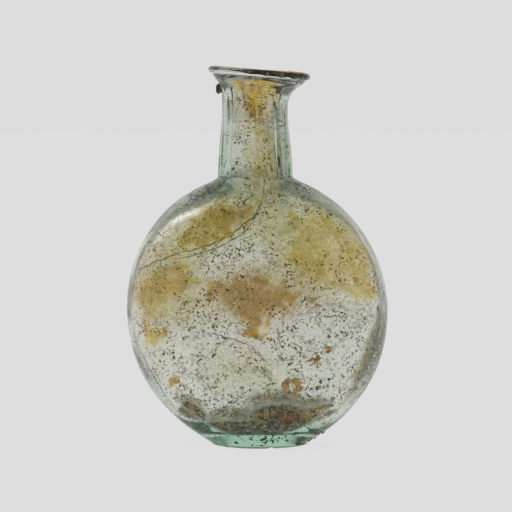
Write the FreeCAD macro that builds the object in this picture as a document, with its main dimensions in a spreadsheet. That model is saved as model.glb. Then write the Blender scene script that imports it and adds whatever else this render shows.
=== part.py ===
"""Lentoid bottle of free-blown glass, with the burial deposits that cling to it.

The glass is one piece, because a bottle like this is one gather of glass: blown to a bubble,
flattened front and back to a lens, stood on a flattened foot, drawn out to a neck, and its
mouth flared and rolled over to a thick lip. The wall is thin on the two faces and at the
sides, and thick at the shoulder and under the floor. The other pieces are not glass: silt
that settled in the foot, lime and clay crusts on the wall of the bubble, a streak of crust
in the neck, loose grains, and one lump stuck to the outside of the neck.

Units are millimetres and degrees. The frame stands on the table: +Z runs up the bottle,
+X to the right of the face that is looked at, and -Y towards the eye. The origin is on the
table under the middle of the lens.
"""

import FreeCAD, Part
import math
import os

import Sketcher

VECTOR = FreeCAD.Vector
UP = VECTOR(0, 0, 1)
ACROSS = VECTOR(0, 1, 0)

# Driving sizes of the bottle and of each deposit

SIZES = {
    # The lens, seen from the front and from the side
    "body_width": 82.4,
    "body_depth": 42.0,
    "belly_swell": 2.8,
    "crown_swell": 1.9,
    "lean_angle": 1.0,
    # The foot, where the hot lens was pressed on the marver
    "foot_press": 1.0,
    "foot_width": 26.4,
    "foot_depth": 17.4,
    "foot_round": 0.9,
    "kick_width": 16.0,
    "kick_depth": 8.6,
    "kick_rise": 0.8,
    "crease_place": 4.3,
    "crease_round": 1.5,
    "crease_depth": 0.4,
    # The wall, and how round the bubble inside it is along its edge
    "side_wall": 1.9,
    "face_wall": 1.7,
    "floor_wall": 4.6,
    "bubble_edge_round": 12.0,
    # The neck
    "neck_sink": 1.8,
    "neck_length": 33.4,
    "neck_foot_radius": 11.8,
    "neck_waist_radius": 10.4,
    "neck_fillet": 1.6,
    "bore_radius": 7.6,
    "throat_fillet": 2.2,
    # The flare and the rolled lip, which stand askew on the neck
    "flare_height": 9.7,
    "rim_tilt": 4.7,
    "rim_shift": 1.3,
    "lip_radius": 15.0,
    "lip_thickness": 2.2,
    # The deposits
    "silt_depth": 1.4,
    "thick_crust": 0.45,
    "thin_crust": 0.3,
    "neck_crust": 0.18,
    "lump_crust": 0.8,
    "fleck_crust": 0.5,
    "grain_radius": 0.55,
    "nodule_radius": 1.5,
    # How far a cutting shape runs past what it cuts
    "overrun": 5.0,
}

doc = FreeCAD.newDocument("lentoid_bottle")
sheet = doc.addObject("Spreadsheet::Sheet", "sizes")
for row, (alias, value) in enumerate(SIZES.items(), start=1):
    sheet.set(f"A{row}", alias)
    sheet.set(f"B{row}", str(value))
    sheet.setAlias(f"B{row}", alias)
doc.recompute()


def value(expression):
    """What an expression on the sheet comes to."""
    return float(sheet.evalExpression(expression))


# Sizes that several pieces share, as expressions on the sheet. The lens is nearly round from the
# front: it swells a little up and down from its width, its lowest end is pressed flat for the
# foot, and the neck's foot sinks a little into its crown.

BELLY_DROP = "(sizes.body_width / 2 + sizes.belly_swell)"
CROWN_RISE = "(sizes.body_width / 2 + sizes.crown_swell)"
WIDEST_HEIGHT = f"({BELLY_DROP} - sizes.foot_press)"
NECK_FOOT_HEIGHT = f"({WIDEST_HEIGHT} + {CROWN_RISE} - sizes.neck_sink)"
RIM_HEIGHT = f"({NECK_FOOT_HEIGHT} + sizes.neck_length)"
LEAN = "tan(sizes.lean_angle)"
NECK_X = f"(({WIDEST_HEIGHT} - {NECK_FOOT_HEIGHT}) * {LEAN})"
BUBBLE_RADIUS = "(sizes.body_width / 2 - sizes.side_wall)"
BUBBLE_HALF_DEPTH = "(sizes.body_depth / 2 - sizes.face_wall)"
BUBBLE_HEIGHT = f"(sizes.floor_wall + {BUBBLE_RADIUS})"


# Sketches, each a closed ring that a loft runs through


def ring_sketch(body, name, x_place, z_place, tilt="0"):
    """An empty sketch level with the table, or tilted, at a place given by expressions."""
    sketch = body.newObject("Sketcher::SketchObject", name)
    ground = next(f for f in body.Origin.OriginFeatures if f.Role == "XY_Plane")
    sketch.AttachmentSupport = [(ground, "")]
    sketch.MapMode = "FlatFace"
    sketch.AttachmentOffset = FreeCAD.Placement(VECTOR(), FreeCAD.Rotation(ACROSS, 1))
    sketch.setExpression("AttachmentOffset.Base.x", x_place)
    sketch.setExpression("AttachmentOffset.Base.z", z_place)
    sketch.setExpression("AttachmentOffset.Rotation.Angle", tilt)
    return sketch


def oval_ring(body, name, width, depth, x_place, z_place):
    """An oval ring of the lens, wider than it is deep."""
    sketch = ring_sketch(body, name, x_place, z_place)
    start = VECTOR(value("sizes.body_width / 2"), 0, 0)
    side = VECTOR(0, value("sizes.body_depth / 2"), 0)
    oval = sketch.addGeometry(Part.Ellipse(start, side, VECTOR()), False)
    sketch.exposeInternalGeometry(oval)
    long_axis, short_axis = oval + 1, oval + 2
    sketch.addConstraint(Sketcher.Constraint("Coincident", oval, 3, -1, 1))
    sketch.addConstraint(Sketcher.Constraint("Horizontal", long_axis))
    wide = sketch.addConstraint(Sketcher.Constraint("Distance", long_axis, 2 * start.x))
    sketch.renameConstraint(wide, "wide")
    deep = sketch.addConstraint(Sketcher.Constraint("Distance", short_axis, 2 * side.y))
    sketch.renameConstraint(deep, "deep")
    sketch.setExpression("Constraints.wide", width)
    sketch.setExpression("Constraints.deep", depth)
    return sketch


def round_ring(body, name, radius, x_place, z_place, tilt="0"):
    """A round ring of the neck, level or tilted."""
    sketch = ring_sketch(body, name, x_place, z_place, tilt)
    start = value("sizes.neck_waist_radius")
    circle = sketch.addGeometry(Part.Circle(VECTOR(), UP, start), False)
    sketch.addConstraint(Sketcher.Constraint("Coincident", circle, 3, -1, 1))
    wide = sketch.addConstraint(Sketcher.Constraint("Radius", circle, start))
    sketch.renameConstraint(wide, "wide")
    sketch.setExpression("Constraints.wide", radius)
    return sketch


def bubble_sizes():
    """Radius, half depth and round of the edge of the bubble inside the lens."""
    return value(BUBBLE_RADIUS), value(BUBBLE_HALF_DEPTH), value("sizes.bubble_edge_round")


def face_round():
    """Radius of the bubble's two flat faces, which run into its tight edge without a corner."""
    radius, half_depth, edge_round = bubble_sizes()
    edge_x = radius - edge_round
    return (edge_x**2 + half_depth**2 - edge_round**2) / (2 * (half_depth - edge_round))


def bubble_half_plan(sketch, inset):
    """Half the bubble's plan: a front, an edge and a back arc, closed on its axis.

    An inset makes the parallel curve inside it, because all its arcs keep their centres.
    """
    radius, half_depth, edge_round = bubble_sizes()
    edge_x = radius - edge_round
    flat_round = face_round()
    flat_y = flat_round - half_depth
    turn = math.atan2(flat_y, edge_x)
    quarter = math.pi / 2
    arcs = (
        (VECTOR(0, flat_y, 0), flat_round, -quarter, -turn),
        (VECTOR(edge_x, 0, 0), edge_round, -turn, turn),
        (VECTOR(0, -flat_y, 0), flat_round, turn, quarter),
    )
    for centre, arc_round, first, last in arcs:
        sketch.addGeometry(Part.ArcOfCircle(Part.Circle(centre, UP, arc_round), first, last), False)
    sketch.addGeometry(Part.LineSegment(VECTOR(0, half_depth, 0), VECTOR(0, -half_depth, 0)), False)
    front, edge, back, axis = range(len(arcs) + 1)
    start, end, middle = 1, 2, 3
    origin, level, upright = (-1, 1), -1, -2
    sketch.addConstraint(
        [
            Sketcher.Constraint("Tangent", front, end, edge, start),
            Sketcher.Constraint("Tangent", edge, end, back, start),
            Sketcher.Constraint("Coincident", back, end, axis, start),
            Sketcher.Constraint("Coincident", axis, end, front, start),
            Sketcher.Constraint("PointOnObject", front, middle, upright),
            Sketcher.Constraint("PointOnObject", back, middle, upright),
            Sketcher.Constraint("PointOnObject", edge, middle, level),
            Sketcher.Constraint("PointOnObject", axis, start, upright),
            Sketcher.Constraint("PointOnObject", axis, end, upright),
            Sketcher.Constraint("Equal", front, back),
        ]
    )
    measures = (
        ("edge_from_axis", Sketcher.Constraint("DistanceX", *origin, edge, middle, edge_x)),
        ("edge_radius", Sketcher.Constraint("Radius", edge, edge_round)),
        ("depth", Sketcher.Constraint("DistanceY", axis, end, axis, start, 2 * half_depth)),
    )
    for name, constraint in measures:
        sketch.renameConstraint(sketch.addConstraint(constraint), name)
    sketch.setExpression("Constraints.edge_from_axis", f"{BUBBLE_RADIUS} - sizes.bubble_edge_round")
    sketch.setExpression("Constraints.edge_radius", f"sizes.bubble_edge_round - {inset}")
    sketch.setExpression("Constraints.depth", f"2 * ({BUBBLE_HALF_DEPTH} - {inset})")


def loft(body, kind, name, rings):
    """A smooth loft through the rings, which adds glass or cuts it away."""
    feature = body.newObject(kind, name)
    feature.Profile = (rings[0], [""])
    feature.Sections = [(ring, [""]) for ring in rings[1:]]
    feature.Ruled = False
    doc.recompute()
    return feature


def edges_where(feature, test):
    """Names of the feature's edges whose middle point and length pass the test."""
    found = []
    for number, edge in enumerate(feature.Shape.Edges, start=1):
        middle = edge.valueAt((edge.FirstParameter + edge.LastParameter) / 2)
        if test(middle, edge):
            found.append(f"Edge{number}")
    return found


def round_edges(body, name, feature, edges, radius):
    """A fillet on the named edges of a feature."""
    fillet = body.newObject("PartDesign::Fillet", name)
    fillet.Base = (feature, edges)
    fillet.setExpression("Radius", radius)
    doc.recompute()
    return fillet


# The vessel

# Rings of the lens below and above its widest one: latitude in degrees, then share of the way
# from the depth of the foot, or of the neck, to the full depth. The width goes with the cosine
# of the latitude.
BELLY_SHARES = ((58, 0.317), (38, 0.684), (18, 0.923))
CROWN_SHARES = ((0, 1.0), (20, 0.874), (38, 0.612), (54, 0.338), (66, 0.133))

# The neck from its foot to the start of the flare: share of the height, share of the narrowing
NECK_SHARES = ((0.0, 0.0), (0.27, 0.24), (0.52, 0.66), (0.77, 0.98), (1.0, 1.0))

# The flare below the rim: share of its height left to climb, share of its outward reach, and
# share of the rim's tilt and shift that it has by then
FLARE_SHARES = (
    (1.0, 0.0, 0.0),
    (0.78, 0.045, 0.25),
    (0.59, 0.15, 0.5),
    (0.42, 0.41, 0.8),
    (0.25, 0.80, 1.0),
    (0.0, 1.0, 1.0),
)

# The funnel inside the flare, in the same shares, counted outward from the bore
FUNNEL_SHARES = (
    (1.15, -0.10, 0.0),
    (0.80, 0.02, 0.25),
    (0.59, 0.12, 0.5),
    (0.42, 0.31, 0.8),
    (0.25, 0.62, 1.0),
    (0.09, 0.91, 1.0),
    (-0.02, 1.0, 1.0),
    (-0.45, 1.04, 1.0),
)


def lens_rings(body):
    """The rings of the outer skin, oval from the foot up and round where the neck begins."""

    def leaning(height):
        return f"({WIDEST_HEIGHT} - ({height})) * {LEAN}"

    foot = ("sizes.foot_width", "sizes.foot_depth")
    rings = [oval_ring(body, "foot_ring", *foot, leaning("0"), "0")]
    halves = (
        ("belly", f"-{BELLY_DROP}", "sizes.foot_depth", BELLY_SHARES),
        ("crown", CROWN_RISE, "2 * sizes.neck_foot_radius", CROWN_SHARES),
    )
    for half, rise, least, shares in halves:
        for latitude, depth_share in shares:
            name = f"{half}_ring_{latitude}"
            height = f"{WIDEST_HEIGHT} + {rise} * sin({latitude})"
            width = f"sizes.body_width * cos({latitude})"
            depth = f"{least} + (sizes.body_depth - {least}) * {depth_share}"
            rings.append(oval_ring(body, name, width, depth, leaning(height), height))
    top = ("sizes.neck_foot_radius", NECK_X, NECK_FOOT_HEIGHT)
    rings.append(round_ring(body, "crown_ring_top", *top))
    return rings


def neck_rings(body):
    """The round, level rings of the neck."""
    rings = []
    climb = "(sizes.neck_length - sizes.flare_height)"
    taper = "(sizes.neck_foot_radius - sizes.neck_waist_radius)"
    for number, (height_share, taper_share) in enumerate(NECK_SHARES):
        height = f"{NECK_FOOT_HEIGHT} + {climb} * {height_share}"
        radius = f"sizes.neck_foot_radius - {taper} * {taper_share}"
        rings.append(round_ring(body, f"neck_ring_{number}", radius, NECK_X, height))
    return rings


def flare_rings(body):
    """The round rings of the flare, which tilt and shift little by little to the rim's plane."""
    rings = []
    reach = "(sizes.lip_radius - sizes.neck_waist_radius)"
    for number, (left_share, reach_share, tilt_share) in enumerate(FLARE_SHARES):
        height = f"{RIM_HEIGHT} - sizes.flare_height * {left_share}"
        radius = f"sizes.neck_waist_radius + {reach} * {reach_share}"
        place = f"{NECK_X} + sizes.rim_shift * {tilt_share}"
        tilt = f"sizes.rim_tilt * {tilt_share}"
        rings.append(round_ring(body, f"flare_ring_{number}", radius, place, height, tilt))
    return rings


def funnel_rings(body):
    """The round rings of the funnel that opens from the bore to the inner edge of the lip."""
    rings = []
    reach = "(sizes.lip_radius - sizes.lip_thickness / 2 - sizes.bore_radius)"
    for number, (left_share, reach_share, tilt_share) in enumerate(FUNNEL_SHARES):
        height = f"{RIM_HEIGHT} - sizes.flare_height * {left_share}"
        radius = f"sizes.bore_radius + {reach} * {reach_share}"
        place = f"{NECK_X} + sizes.rim_shift * {tilt_share}"
        tilt = f"sizes.rim_tilt * {tilt_share}"
        rings.append(round_ring(body, f"funnel_ring_{number}", radius, place, height, tilt))
    return rings


def rolled_lip(body):
    """The lip, a ring of round section in the rim's tilted plane."""
    lip = body.newObject("PartDesign::AdditiveTorus", "rolled_lip")
    lip.Placement = FreeCAD.Placement(VECTOR(), FreeCAD.Rotation(ACROSS, 1))
    lip.setExpression("Radius1", "sizes.lip_radius")
    lip.setExpression("Radius2", "sizes.lip_thickness / 2")
    lip.setExpression("Placement.Base.x", f"{NECK_X} + sizes.rim_shift")
    lip.setExpression("Placement.Base.z", RIM_HEIGHT)
    lip.setExpression("Placement.Rotation.Angle", "sizes.rim_tilt")
    doc.recompute()


# How far a ring of the neck may stand from its radius and still be taken for it
ROUND_MATCH_SHARE = 0.02


def circles_on_neck_axis(feature, radius, low, high):
    """Names of the edges that go round the neck's axis at a radius, between two heights."""
    axis_x = value(NECK_X)

    def near(middle, edge):
        out = math.hypot(middle.x - axis_x, middle.y)
        goes_round = edge.BoundBox.XLength > radius and edge.BoundBox.YLength > radius
        matches = abs(out - radius) < ROUND_MATCH_SHARE * radius
        return goes_round and matches and low < middle.z < high

    return edges_where(feature, near)


def hollow_bubble(body):
    """The bubble, a lens-shaped hollow turned about the line that looks straight through it."""
    plan = ring_sketch(body, "bubble_plan", "0", BUBBLE_HEIGHT)
    bubble_half_plan(plan, "0")
    doc.recompute()
    before = body.Shape.Volume
    bubble = body.newObject("PartDesign::Groove", "bubble")
    bubble.Profile = (plan, [""])
    bubble.ReferenceAxis = (plan, ["V_Axis"])
    bubble.Angle = 360
    doc.recompute()
    if not body.Shape.Volume < before:
        raise RuntimeError("the bubble was not cut out")


def make_vessel():
    """The glass: skin, neck, flare and rolled lip, then the bubble, bore and funnel cut out.

    Returned with it is the solid form of lens, neck and flare, before it was hollowed.
    """
    body = doc.addObject("PartDesign::Body", "glass_vessel")
    body.Label = "glass_vessel"
    doc.recompute()
    loft(body, "PartDesign::AdditiveLoft", "blown_lens", lens_rings(body))
    neck = loft(body, "PartDesign::AdditiveLoft", "drawn_neck", neck_rings(body))
    low = value(f"{NECK_FOOT_HEIGHT} - sizes.neck_fillet")
    high = value(f"{NECK_FOOT_HEIGHT} + sizes.neck_fillet")
    seam = circles_on_neck_axis(neck, value("sizes.neck_foot_radius"), low, high)
    round_edges(body, "neck_foot_fillet", neck, seam, "sizes.neck_fillet")
    solid_form = loft(body, "PartDesign::AdditiveLoft", "flared_mouth", flare_rings(body))
    rolled_lip(body)
    hollow_bubble(body)

    bore = body.newObject("PartDesign::SubtractiveCylinder", "bore")
    bore.setExpression("Radius", "sizes.bore_radius")
    bore.setExpression("Height", f"{RIM_HEIGHT} - {WIDEST_HEIGHT} + sizes.overrun")
    bore.setExpression("Placement.Base.x", NECK_X)
    bore.setExpression("Placement.Base.z", WIDEST_HEIGHT)
    doc.recompute()
    low, high = value(WIDEST_HEIGHT), value(f"{NECK_FOOT_HEIGHT} + sizes.neck_length / 2")
    throat = circles_on_neck_axis(bore, value("sizes.bore_radius"), low, high)
    round_edges(body, "throat_fillet", bore, throat, "sizes.throat_fillet")
    loft(body, "PartDesign::SubtractiveLoft", "funnel", funnel_rings(body))
    finish_foot(body)
    return body, solid_form


def finish_foot(body):
    """The foot's rounded edge, the shallow kick under it and the crease that the tool left across it."""
    base = body.Tip
    low = value("sizes.foot_round / 2")
    rim = edges_where(base, lambda middle, edge: edge.BoundBox.ZMax < low)
    round_edges(body, "foot_fillet", base, rim, "sizes.foot_round")

    kick = body.newObject("PartDesign::SubtractiveEllipsoid", "kick")
    kick.Angle1, kick.Angle2, kick.Angle3 = -90, 90, 360
    kick.setExpression("Radius1", "sizes.kick_rise")
    kick.setExpression("Radius2", "sizes.kick_width / 2")
    kick.setExpression("Radius3", "sizes.kick_depth / 2")
    kick.setExpression("Placement.Base.x", f"{WIDEST_HEIGHT} * {LEAN}")
    doc.recompute()

    crease = body.newObject("PartDesign::SubtractiveCylinder", "crease")
    crease.Placement = FreeCAD.Placement(VECTOR(), FreeCAD.Rotation(VECTOR(1, 0, 0), 90))
    crease.setExpression("Radius", "sizes.crease_round")
    crease.setExpression("Height", "sizes.body_depth / 2")
    crease.setExpression("Placement.Base.x", "sizes.crease_place")
    crease.setExpression("Placement.Base.z", "sizes.crease_depth - sizes.crease_round")
    doc.recompute()


# Deposits on the wall of the bubble. An outline is seen from the front, its points in shares of
# the bubble's radius, counted from the bubble's middle.

LEFT_SHOULDER_SHARES = (
    (-0.14, 0.84), (0.02, 0.86), (0.02, 0.78), (-0.11, 0.66), (-0.28, 0.55),
    (-0.47, 0.47), (-0.68, 0.42), (-0.63, 0.55), (-0.50, 0.69), (-0.33, 0.79),
)
RIGHT_SHOULDER_SHARES = (
    (0.30, 0.78), (0.50, 0.74), (0.69, 0.60), (0.82, 0.44), (0.90, 0.22), (0.88, 0.07), (0.76, 0.09),
    (0.62, 0.13), (0.48, 0.22), (0.33, 0.30), (0.22, 0.43), (0.28, 0.57), (0.22, 0.69),
)
MIDDLE_SHARES = (
    (-0.39, 0.12), (-0.28, 0.20), (-0.12, 0.235), (0.04, 0.20), (0.18, 0.17), (0.34, 0.08),
    (0.29, -0.02), (0.15, -0.08), (0.04, -0.18), (-0.03, -0.30), (-0.09, -0.19), (-0.20, -0.06),
    (-0.34, 0.02),
)
LEFT_FLANK_SHARES = (
    (-0.90, 0.24), (-0.83, 0.20), (-0.71, 0.31), (-0.55, 0.36), (-0.49, 0.21), (-0.57, 0.10),
    (-0.72, 0.05), (-0.77, -0.08), (-0.76, -0.21), (-0.82, -0.30), (-0.88, -0.23), (-0.91, -0.08),
    (-0.92, 0.08),
)
RIGHT_EDGE_SHARES = (
    (1.06, -0.02), (0.95, -0.03), (0.93, -0.18), (0.87, -0.38), (0.79, -0.55), (0.82, -0.66),
    (0.97, -0.48), (1.06, -0.22),
)
AMBER_LUMP_SHARES = (
    (0.20, -0.55), (0.25, -0.52), (0.325, -0.52), (0.34, -0.58), (0.32, -0.645), (0.26, -0.68),
    (0.21, -0.69), (0.19, -0.63),
)
SILT_SHARES = (
    (-0.57, -0.73), (-0.42, -0.82), (-0.22, -0.86), (-0.02, -0.84), (0.16, -0.78), (0.34, -0.78),
    (0.52, -0.81), (0.66, -0.75), (0.72, -0.88), (0.50, -1.05), (0.0, -1.12), (-0.45, -1.05),
    (-0.64, -0.88),
)

# Small flecks: share across, share up, half length share, half height share, turn in degrees
RIGHT_FLECK_SHARES = (
    (0.455, -0.37, 0.055, 0.028, 10),
    (0.56, -0.305, 0.038, 0.017, 30),
    (0.44, 0.09, 0.030, 0.032, 0),
)
LEFT_FLECK_SHARES = ((-0.655, -0.565, 0.052, 0.036, 35), (-0.53, -0.74, 0.050, 0.032, -35))

# Angular grains: share across, share up and share of the full grain's size
GRAIN_SHARES = (
    (0.500, -0.565, 1.0), (0.467, -0.612, 0.9), (0.557, -0.540, 0.65), (0.590, -0.700, 1.1),
    (0.527, -0.705, 0.7), (0.425, -0.615, 0.6), (0.510, -0.600, 0.5), (0.545, -0.590, 0.45),
)
GRAIN_SIDES = 5
GRAIN_TURN = 47

# How far out of the neck's wall the middle of the lump stands, as a share of the lump's radius
NODULE_PROUD_SHARE = 0.25

# The streak in the neck: share of the bore's radius across, share of the way up to the flare
STREAK_SHARES = (
    (-0.50, 1.0), (0.25, 1.04), (0.85, 0.96), (0.55, 0.66), (0.62, 0.38), (0.88, 0.04),
    (0.40, -0.03), (0.0, 0.06), (-0.08, 0.40), (-0.05, 0.66), (-0.35, 0.86),
)

FRONT, BACK, BOTH = "front", "back", "both"


def bubble_form(name, inset, raised_by="0"):
    """The bubble's inside as a solid, smaller all round by an inset, or raised."""
    plan = doc.addObject("Sketcher::SketchObject", f"{name}_plan")
    bubble_half_plan(plan, inset)
    height = f"{BUBBLE_HEIGHT} + {raised_by}"
    plan.setExpression("Placement.Base.z", height)
    form = doc.addObject("Part::Revolution", name)
    form.Source = plan
    form.Axis = ACROSS
    form.Angle = 360
    form.Solid = True
    form.setExpression("Base.z", height)
    return form


def smooth_outline(name, points):
    """A closed smooth curve through points of the front view, as a face on the plane y = 0."""
    curve = Part.BSplineCurve()
    curve.interpolate(points, PeriodicFlag=True)
    outline = doc.addObject("Part::Feature", name)
    outline.Shape = Part.Face(Part.Wire([curve.toShape()]))
    return outline


def oval_outline(name, across, up, half_length, half_height, turn):
    """An oval of the front view as a face, turned in its plane."""
    oval = Part.Ellipse(VECTOR(), max(half_length, half_height), min(half_length, half_height))
    edge = oval.toShape()
    edge.rotate(VECTOR(), VECTOR(1, 0, 0), 90)
    if half_height > half_length:
        edge.rotate(VECTOR(), ACROSS, 90)
    edge.rotate(VECTOR(), ACROSS, -turn)
    edge.translate(VECTOR(across, 0, up))
    outline = doc.addObject("Part::Feature", name)
    outline.Shape = Part.Face(Part.Wire([edge]))
    return outline


def front_view_point(shares):
    """A point of the front view from its shares of the bubble's radius."""
    radius = value(BUBBLE_RADIUS)
    return VECTOR(shares[0] * radius, 0, value(BUBBLE_HEIGHT) + shares[1] * radius)


def prism(name, outline, side):
    """The outline carried through the bubble to its front, its back or both."""
    block = doc.addObject("Part::Extrusion", name)
    block.Base = outline
    block.DirMode = "Custom"
    block.Dir = -ACROSS if side == FRONT else ACROSS
    block.Solid = True
    block.Symmetric = side == BOTH
    block.setExpression("LengthFwd", "sizes.body_depth" if side == BOTH else "sizes.body_depth / 2")
    return block


def common(label, *shapes):
    """What the shapes share, as the sub-part of that name."""
    piece = doc.addObject("Part::MultiCommon", label)
    piece.Label = label
    piece.Shapes = list(shapes)
    return piece


def difference(name, base, tool):
    """One shape less another."""
    cut = doc.addObject("Part::Cut", name)
    cut.Base = base
    cut.Tool = tool
    return cut


def crust_skin(wall, thickness):
    """A shell of crust all over the bubble's wall, from which patches are taken."""
    name = thickness.split(".")[-1]
    return difference(f"{name}_skin", wall, bubble_form(f"{name}_inside", thickness))


def make_patch(label, shares, side, skin):
    """A patch of crust that lies on the wall and follows it."""
    outline = smooth_outline(f"{label}_outline", [front_view_point(pair) for pair in shares])
    return common(label, skin, prism(f"{label}_prism", outline, side))


def make_flecks(label, rows, side, skin):
    """Small oval flecks of crust, separate solids in one sub-part."""
    radius = value(BUBBLE_RADIUS)
    prisms = []
    for number, (across, up, length_share, height_share, turn) in enumerate(rows):
        centre = front_view_point((across, up))
        oval = (centre.x, centre.z, length_share * radius, height_share * radius, turn)
        outline = oval_outline(f"{label}_outline_{number}", *oval)
        prisms.append(prism(f"{label}_prism_{number}", outline, side))
    group = doc.addObject("Part::Compound", f"{label}_prisms")
    group.Links = prisms
    return common(label, skin, group)


def make_silt(label, wall):
    """Silt that settled on the floor of the bubble, deepest in the middle."""
    outline = smooth_outline(f"{label}_outline", [front_view_point(pair) for pair in SILT_SHARES])
    layer = difference(f"{label}_layer", wall, bubble_form(f"{label}_top", "0", "sizes.silt_depth"))
    return common(label, layer, prism(f"{label}_prism", outline, BOTH))


def make_grains(label, wall):
    """Dark angular grains stuck to the front wall, each cut off where it meets the wall."""
    radius, half_depth, _ = bubble_sizes()
    flat_round = face_round()
    grains = []
    for number, (across, up, grain_share) in enumerate(GRAIN_SHARES):
        place = front_view_point((across, up))
        from_middle = radius * math.hypot(across, up)
        place.y = flat_round - half_depth - math.sqrt(flat_round**2 - from_middle**2)
        grain = doc.addObject("Part::Prism", f"{label}_{number}")
        grain.Polygon = GRAIN_SIDES
        grain.setExpression("Circumradius", f"sizes.grain_radius * {grain_share}")
        grain.setExpression("Height", f"sizes.grain_radius * {grain_share}")
        turn = FreeCAD.Rotation(GRAIN_TURN * number, GRAIN_TURN * (number + 1), 0)
        grain.Placement = FreeCAD.Placement(place, turn)
        grains.append(grain)
    group = doc.addObject("Part::Compound", f"{label}_all")
    group.Links = grains
    return common(label, wall, group)


def make_neck_streak(label):
    """The streak of crust down the back of the bore."""
    axis_x, reach = value(NECK_X), value("sizes.bore_radius")
    low, climb = value(NECK_FOOT_HEIGHT), value("sizes.neck_length - sizes.flare_height")
    points = [VECTOR(axis_x + across * reach, 0, low + up * climb) for across, up in STREAK_SHARES]
    walls = []
    for name, inset in ((f"{label}_outer", "0"), (f"{label}_inner", "sizes.neck_crust")):
        wall = doc.addObject("Part::Cylinder", name)
        wall.setExpression("Radius", f"sizes.bore_radius - {inset}")
        wall.setExpression("Height", "sizes.neck_length + sizes.overrun")
        wall.setExpression("Placement.Base.x", NECK_X)
        wall.setExpression("Placement.Base.z", f"{NECK_FOOT_HEIGHT} - sizes.overrun")
        walls.append(wall)
    outline = smooth_outline(f"{label}_outline", points)
    return common(label, difference(f"{label}_skin", *walls), prism(f"{label}_prism", outline, BACK))


def make_nodule(label, glass):
    """A lump stuck to the outside of the neck under the left of the rim."""
    ball = doc.addObject("Part::Sphere", f"{label}_ball")
    ball.setExpression("Radius", "sizes.nodule_radius")
    proud = f"sizes.nodule_radius * {NODULE_PROUD_SHARE}"
    ball.setExpression("Placement.Base.x", f"{NECK_X} - sizes.neck_waist_radius - {proud}")
    ball.setExpression("Placement.Base.z", f"{RIM_HEIGHT} - sizes.flare_height / 2")
    lump = difference(label, ball, glass)
    lump.Label = label
    return lump


def check_and_write(pieces):
    """Stops on anything that failed, then writes each sub-part's solids to its own file."""
    doc.recompute()
    broken = [o.Name for o in doc.Objects if "Invalid" in o.State or "Error" in o.State]
    if broken:
        raise RuntimeError(f"these objects failed: {broken}")
    for piece in pieces:
        if piece.Shape.isNull() or not piece.Shape.isValid() or not piece.Shape.Solids:
            raise RuntimeError(f"{piece.Label} has no sound solid")
    os.makedirs("parts", exist_ok=True)
    for piece in pieces:
        shape = piece.Shape
        shape.exportStep(f"parts/{piece.Label}.step")
        box = shape.optimalBoundingBox()
        print(f"{piece.Label}: {len(shape.Solids)} solids, {shape.Volume:.2f} mm3,"
              f" {box.XLength:.2f} x {box.YLength:.2f} x {box.ZLength:.2f} mm")


vessel, solid_form = make_vessel()
bubble_wall = bubble_form("bubble_wall", "0")
thin_skin = crust_skin(bubble_wall, "sizes.thin_crust")
thick_skin = crust_skin(bubble_wall, "sizes.thick_crust")
lump_skin = crust_skin(bubble_wall, "sizes.lump_crust")
fleck_skin = crust_skin(bubble_wall, "sizes.fleck_crust")
check_and_write(
    [
        vessel,
        make_silt("base_silt", bubble_wall),
        make_patch("left_shoulder_crust", LEFT_SHOULDER_SHARES, FRONT, thick_skin),
        make_patch("right_shoulder_crust", RIGHT_SHOULDER_SHARES, FRONT, thin_skin),
        make_patch("middle_crust", MIDDLE_SHARES, BACK, thick_skin),
        make_patch("left_flank_crust", LEFT_FLANK_SHARES, BACK, thin_skin),
        make_patch("right_edge_crust", RIGHT_EDGE_SHARES, BOTH, thin_skin),
        make_patch("amber_lump", AMBER_LUMP_SHARES, FRONT, lump_skin),
        make_flecks("right_flecks", RIGHT_FLECK_SHARES, FRONT, fleck_skin),
        make_flecks("left_flecks", LEFT_FLECK_SHARES, FRONT, fleck_skin),
        make_grains("dark_grains", bubble_wall),
        make_neck_streak("neck_streak"),
        make_nodule("neck_nodule", solid_form),
    ]
)
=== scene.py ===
# %% [markdown]
# # An old lentoid bottle
# The object is a small bottle of free-blown glass. Its body is round from the front and pressed flat like
# a lens from the side, its neck is a plain tube, and its rolled rim sits askew. It lay in the ground for a
# long time, so lime, clay and iron cling to the inside of the glass.
#
# This lesson dresses a plain solid model of it. The solids come in first. The glass is then made again as one
# fine skin, because a solid modeller's facets show up at once in anything clear.

# %% Load the solids and the tools
import math

import bmesh
import bpy
import numpy as np
from mathutils import Matrix, Vector
from mathutils.bvhtree import BVHTree


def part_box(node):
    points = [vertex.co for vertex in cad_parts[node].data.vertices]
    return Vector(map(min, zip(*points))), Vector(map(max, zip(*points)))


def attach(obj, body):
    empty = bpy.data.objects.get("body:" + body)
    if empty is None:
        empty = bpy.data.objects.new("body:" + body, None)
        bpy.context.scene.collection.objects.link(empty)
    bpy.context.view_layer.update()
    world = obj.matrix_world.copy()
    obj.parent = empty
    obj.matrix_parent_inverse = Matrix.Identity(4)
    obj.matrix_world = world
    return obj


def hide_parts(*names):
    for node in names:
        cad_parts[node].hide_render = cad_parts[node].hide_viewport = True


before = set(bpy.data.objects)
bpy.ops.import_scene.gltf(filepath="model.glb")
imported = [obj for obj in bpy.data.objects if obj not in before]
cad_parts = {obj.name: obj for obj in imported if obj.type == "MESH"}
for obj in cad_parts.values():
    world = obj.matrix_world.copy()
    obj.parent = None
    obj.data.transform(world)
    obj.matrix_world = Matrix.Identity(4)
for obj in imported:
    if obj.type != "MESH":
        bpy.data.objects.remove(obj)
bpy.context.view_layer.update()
MM = 0.001
print("solids:", ", ".join(sorted(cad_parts)))

# %% [markdown]
# ## Camera
# The bottle was photographed from straight in front, from far away, with the lens about level with the rim.
# A long lens gives that flat look: the rim's near and far edges lie on top of each other. The camera aims
# at the middle of the picture and its lens is worked out from how many millimetres the picture is wide.

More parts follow.
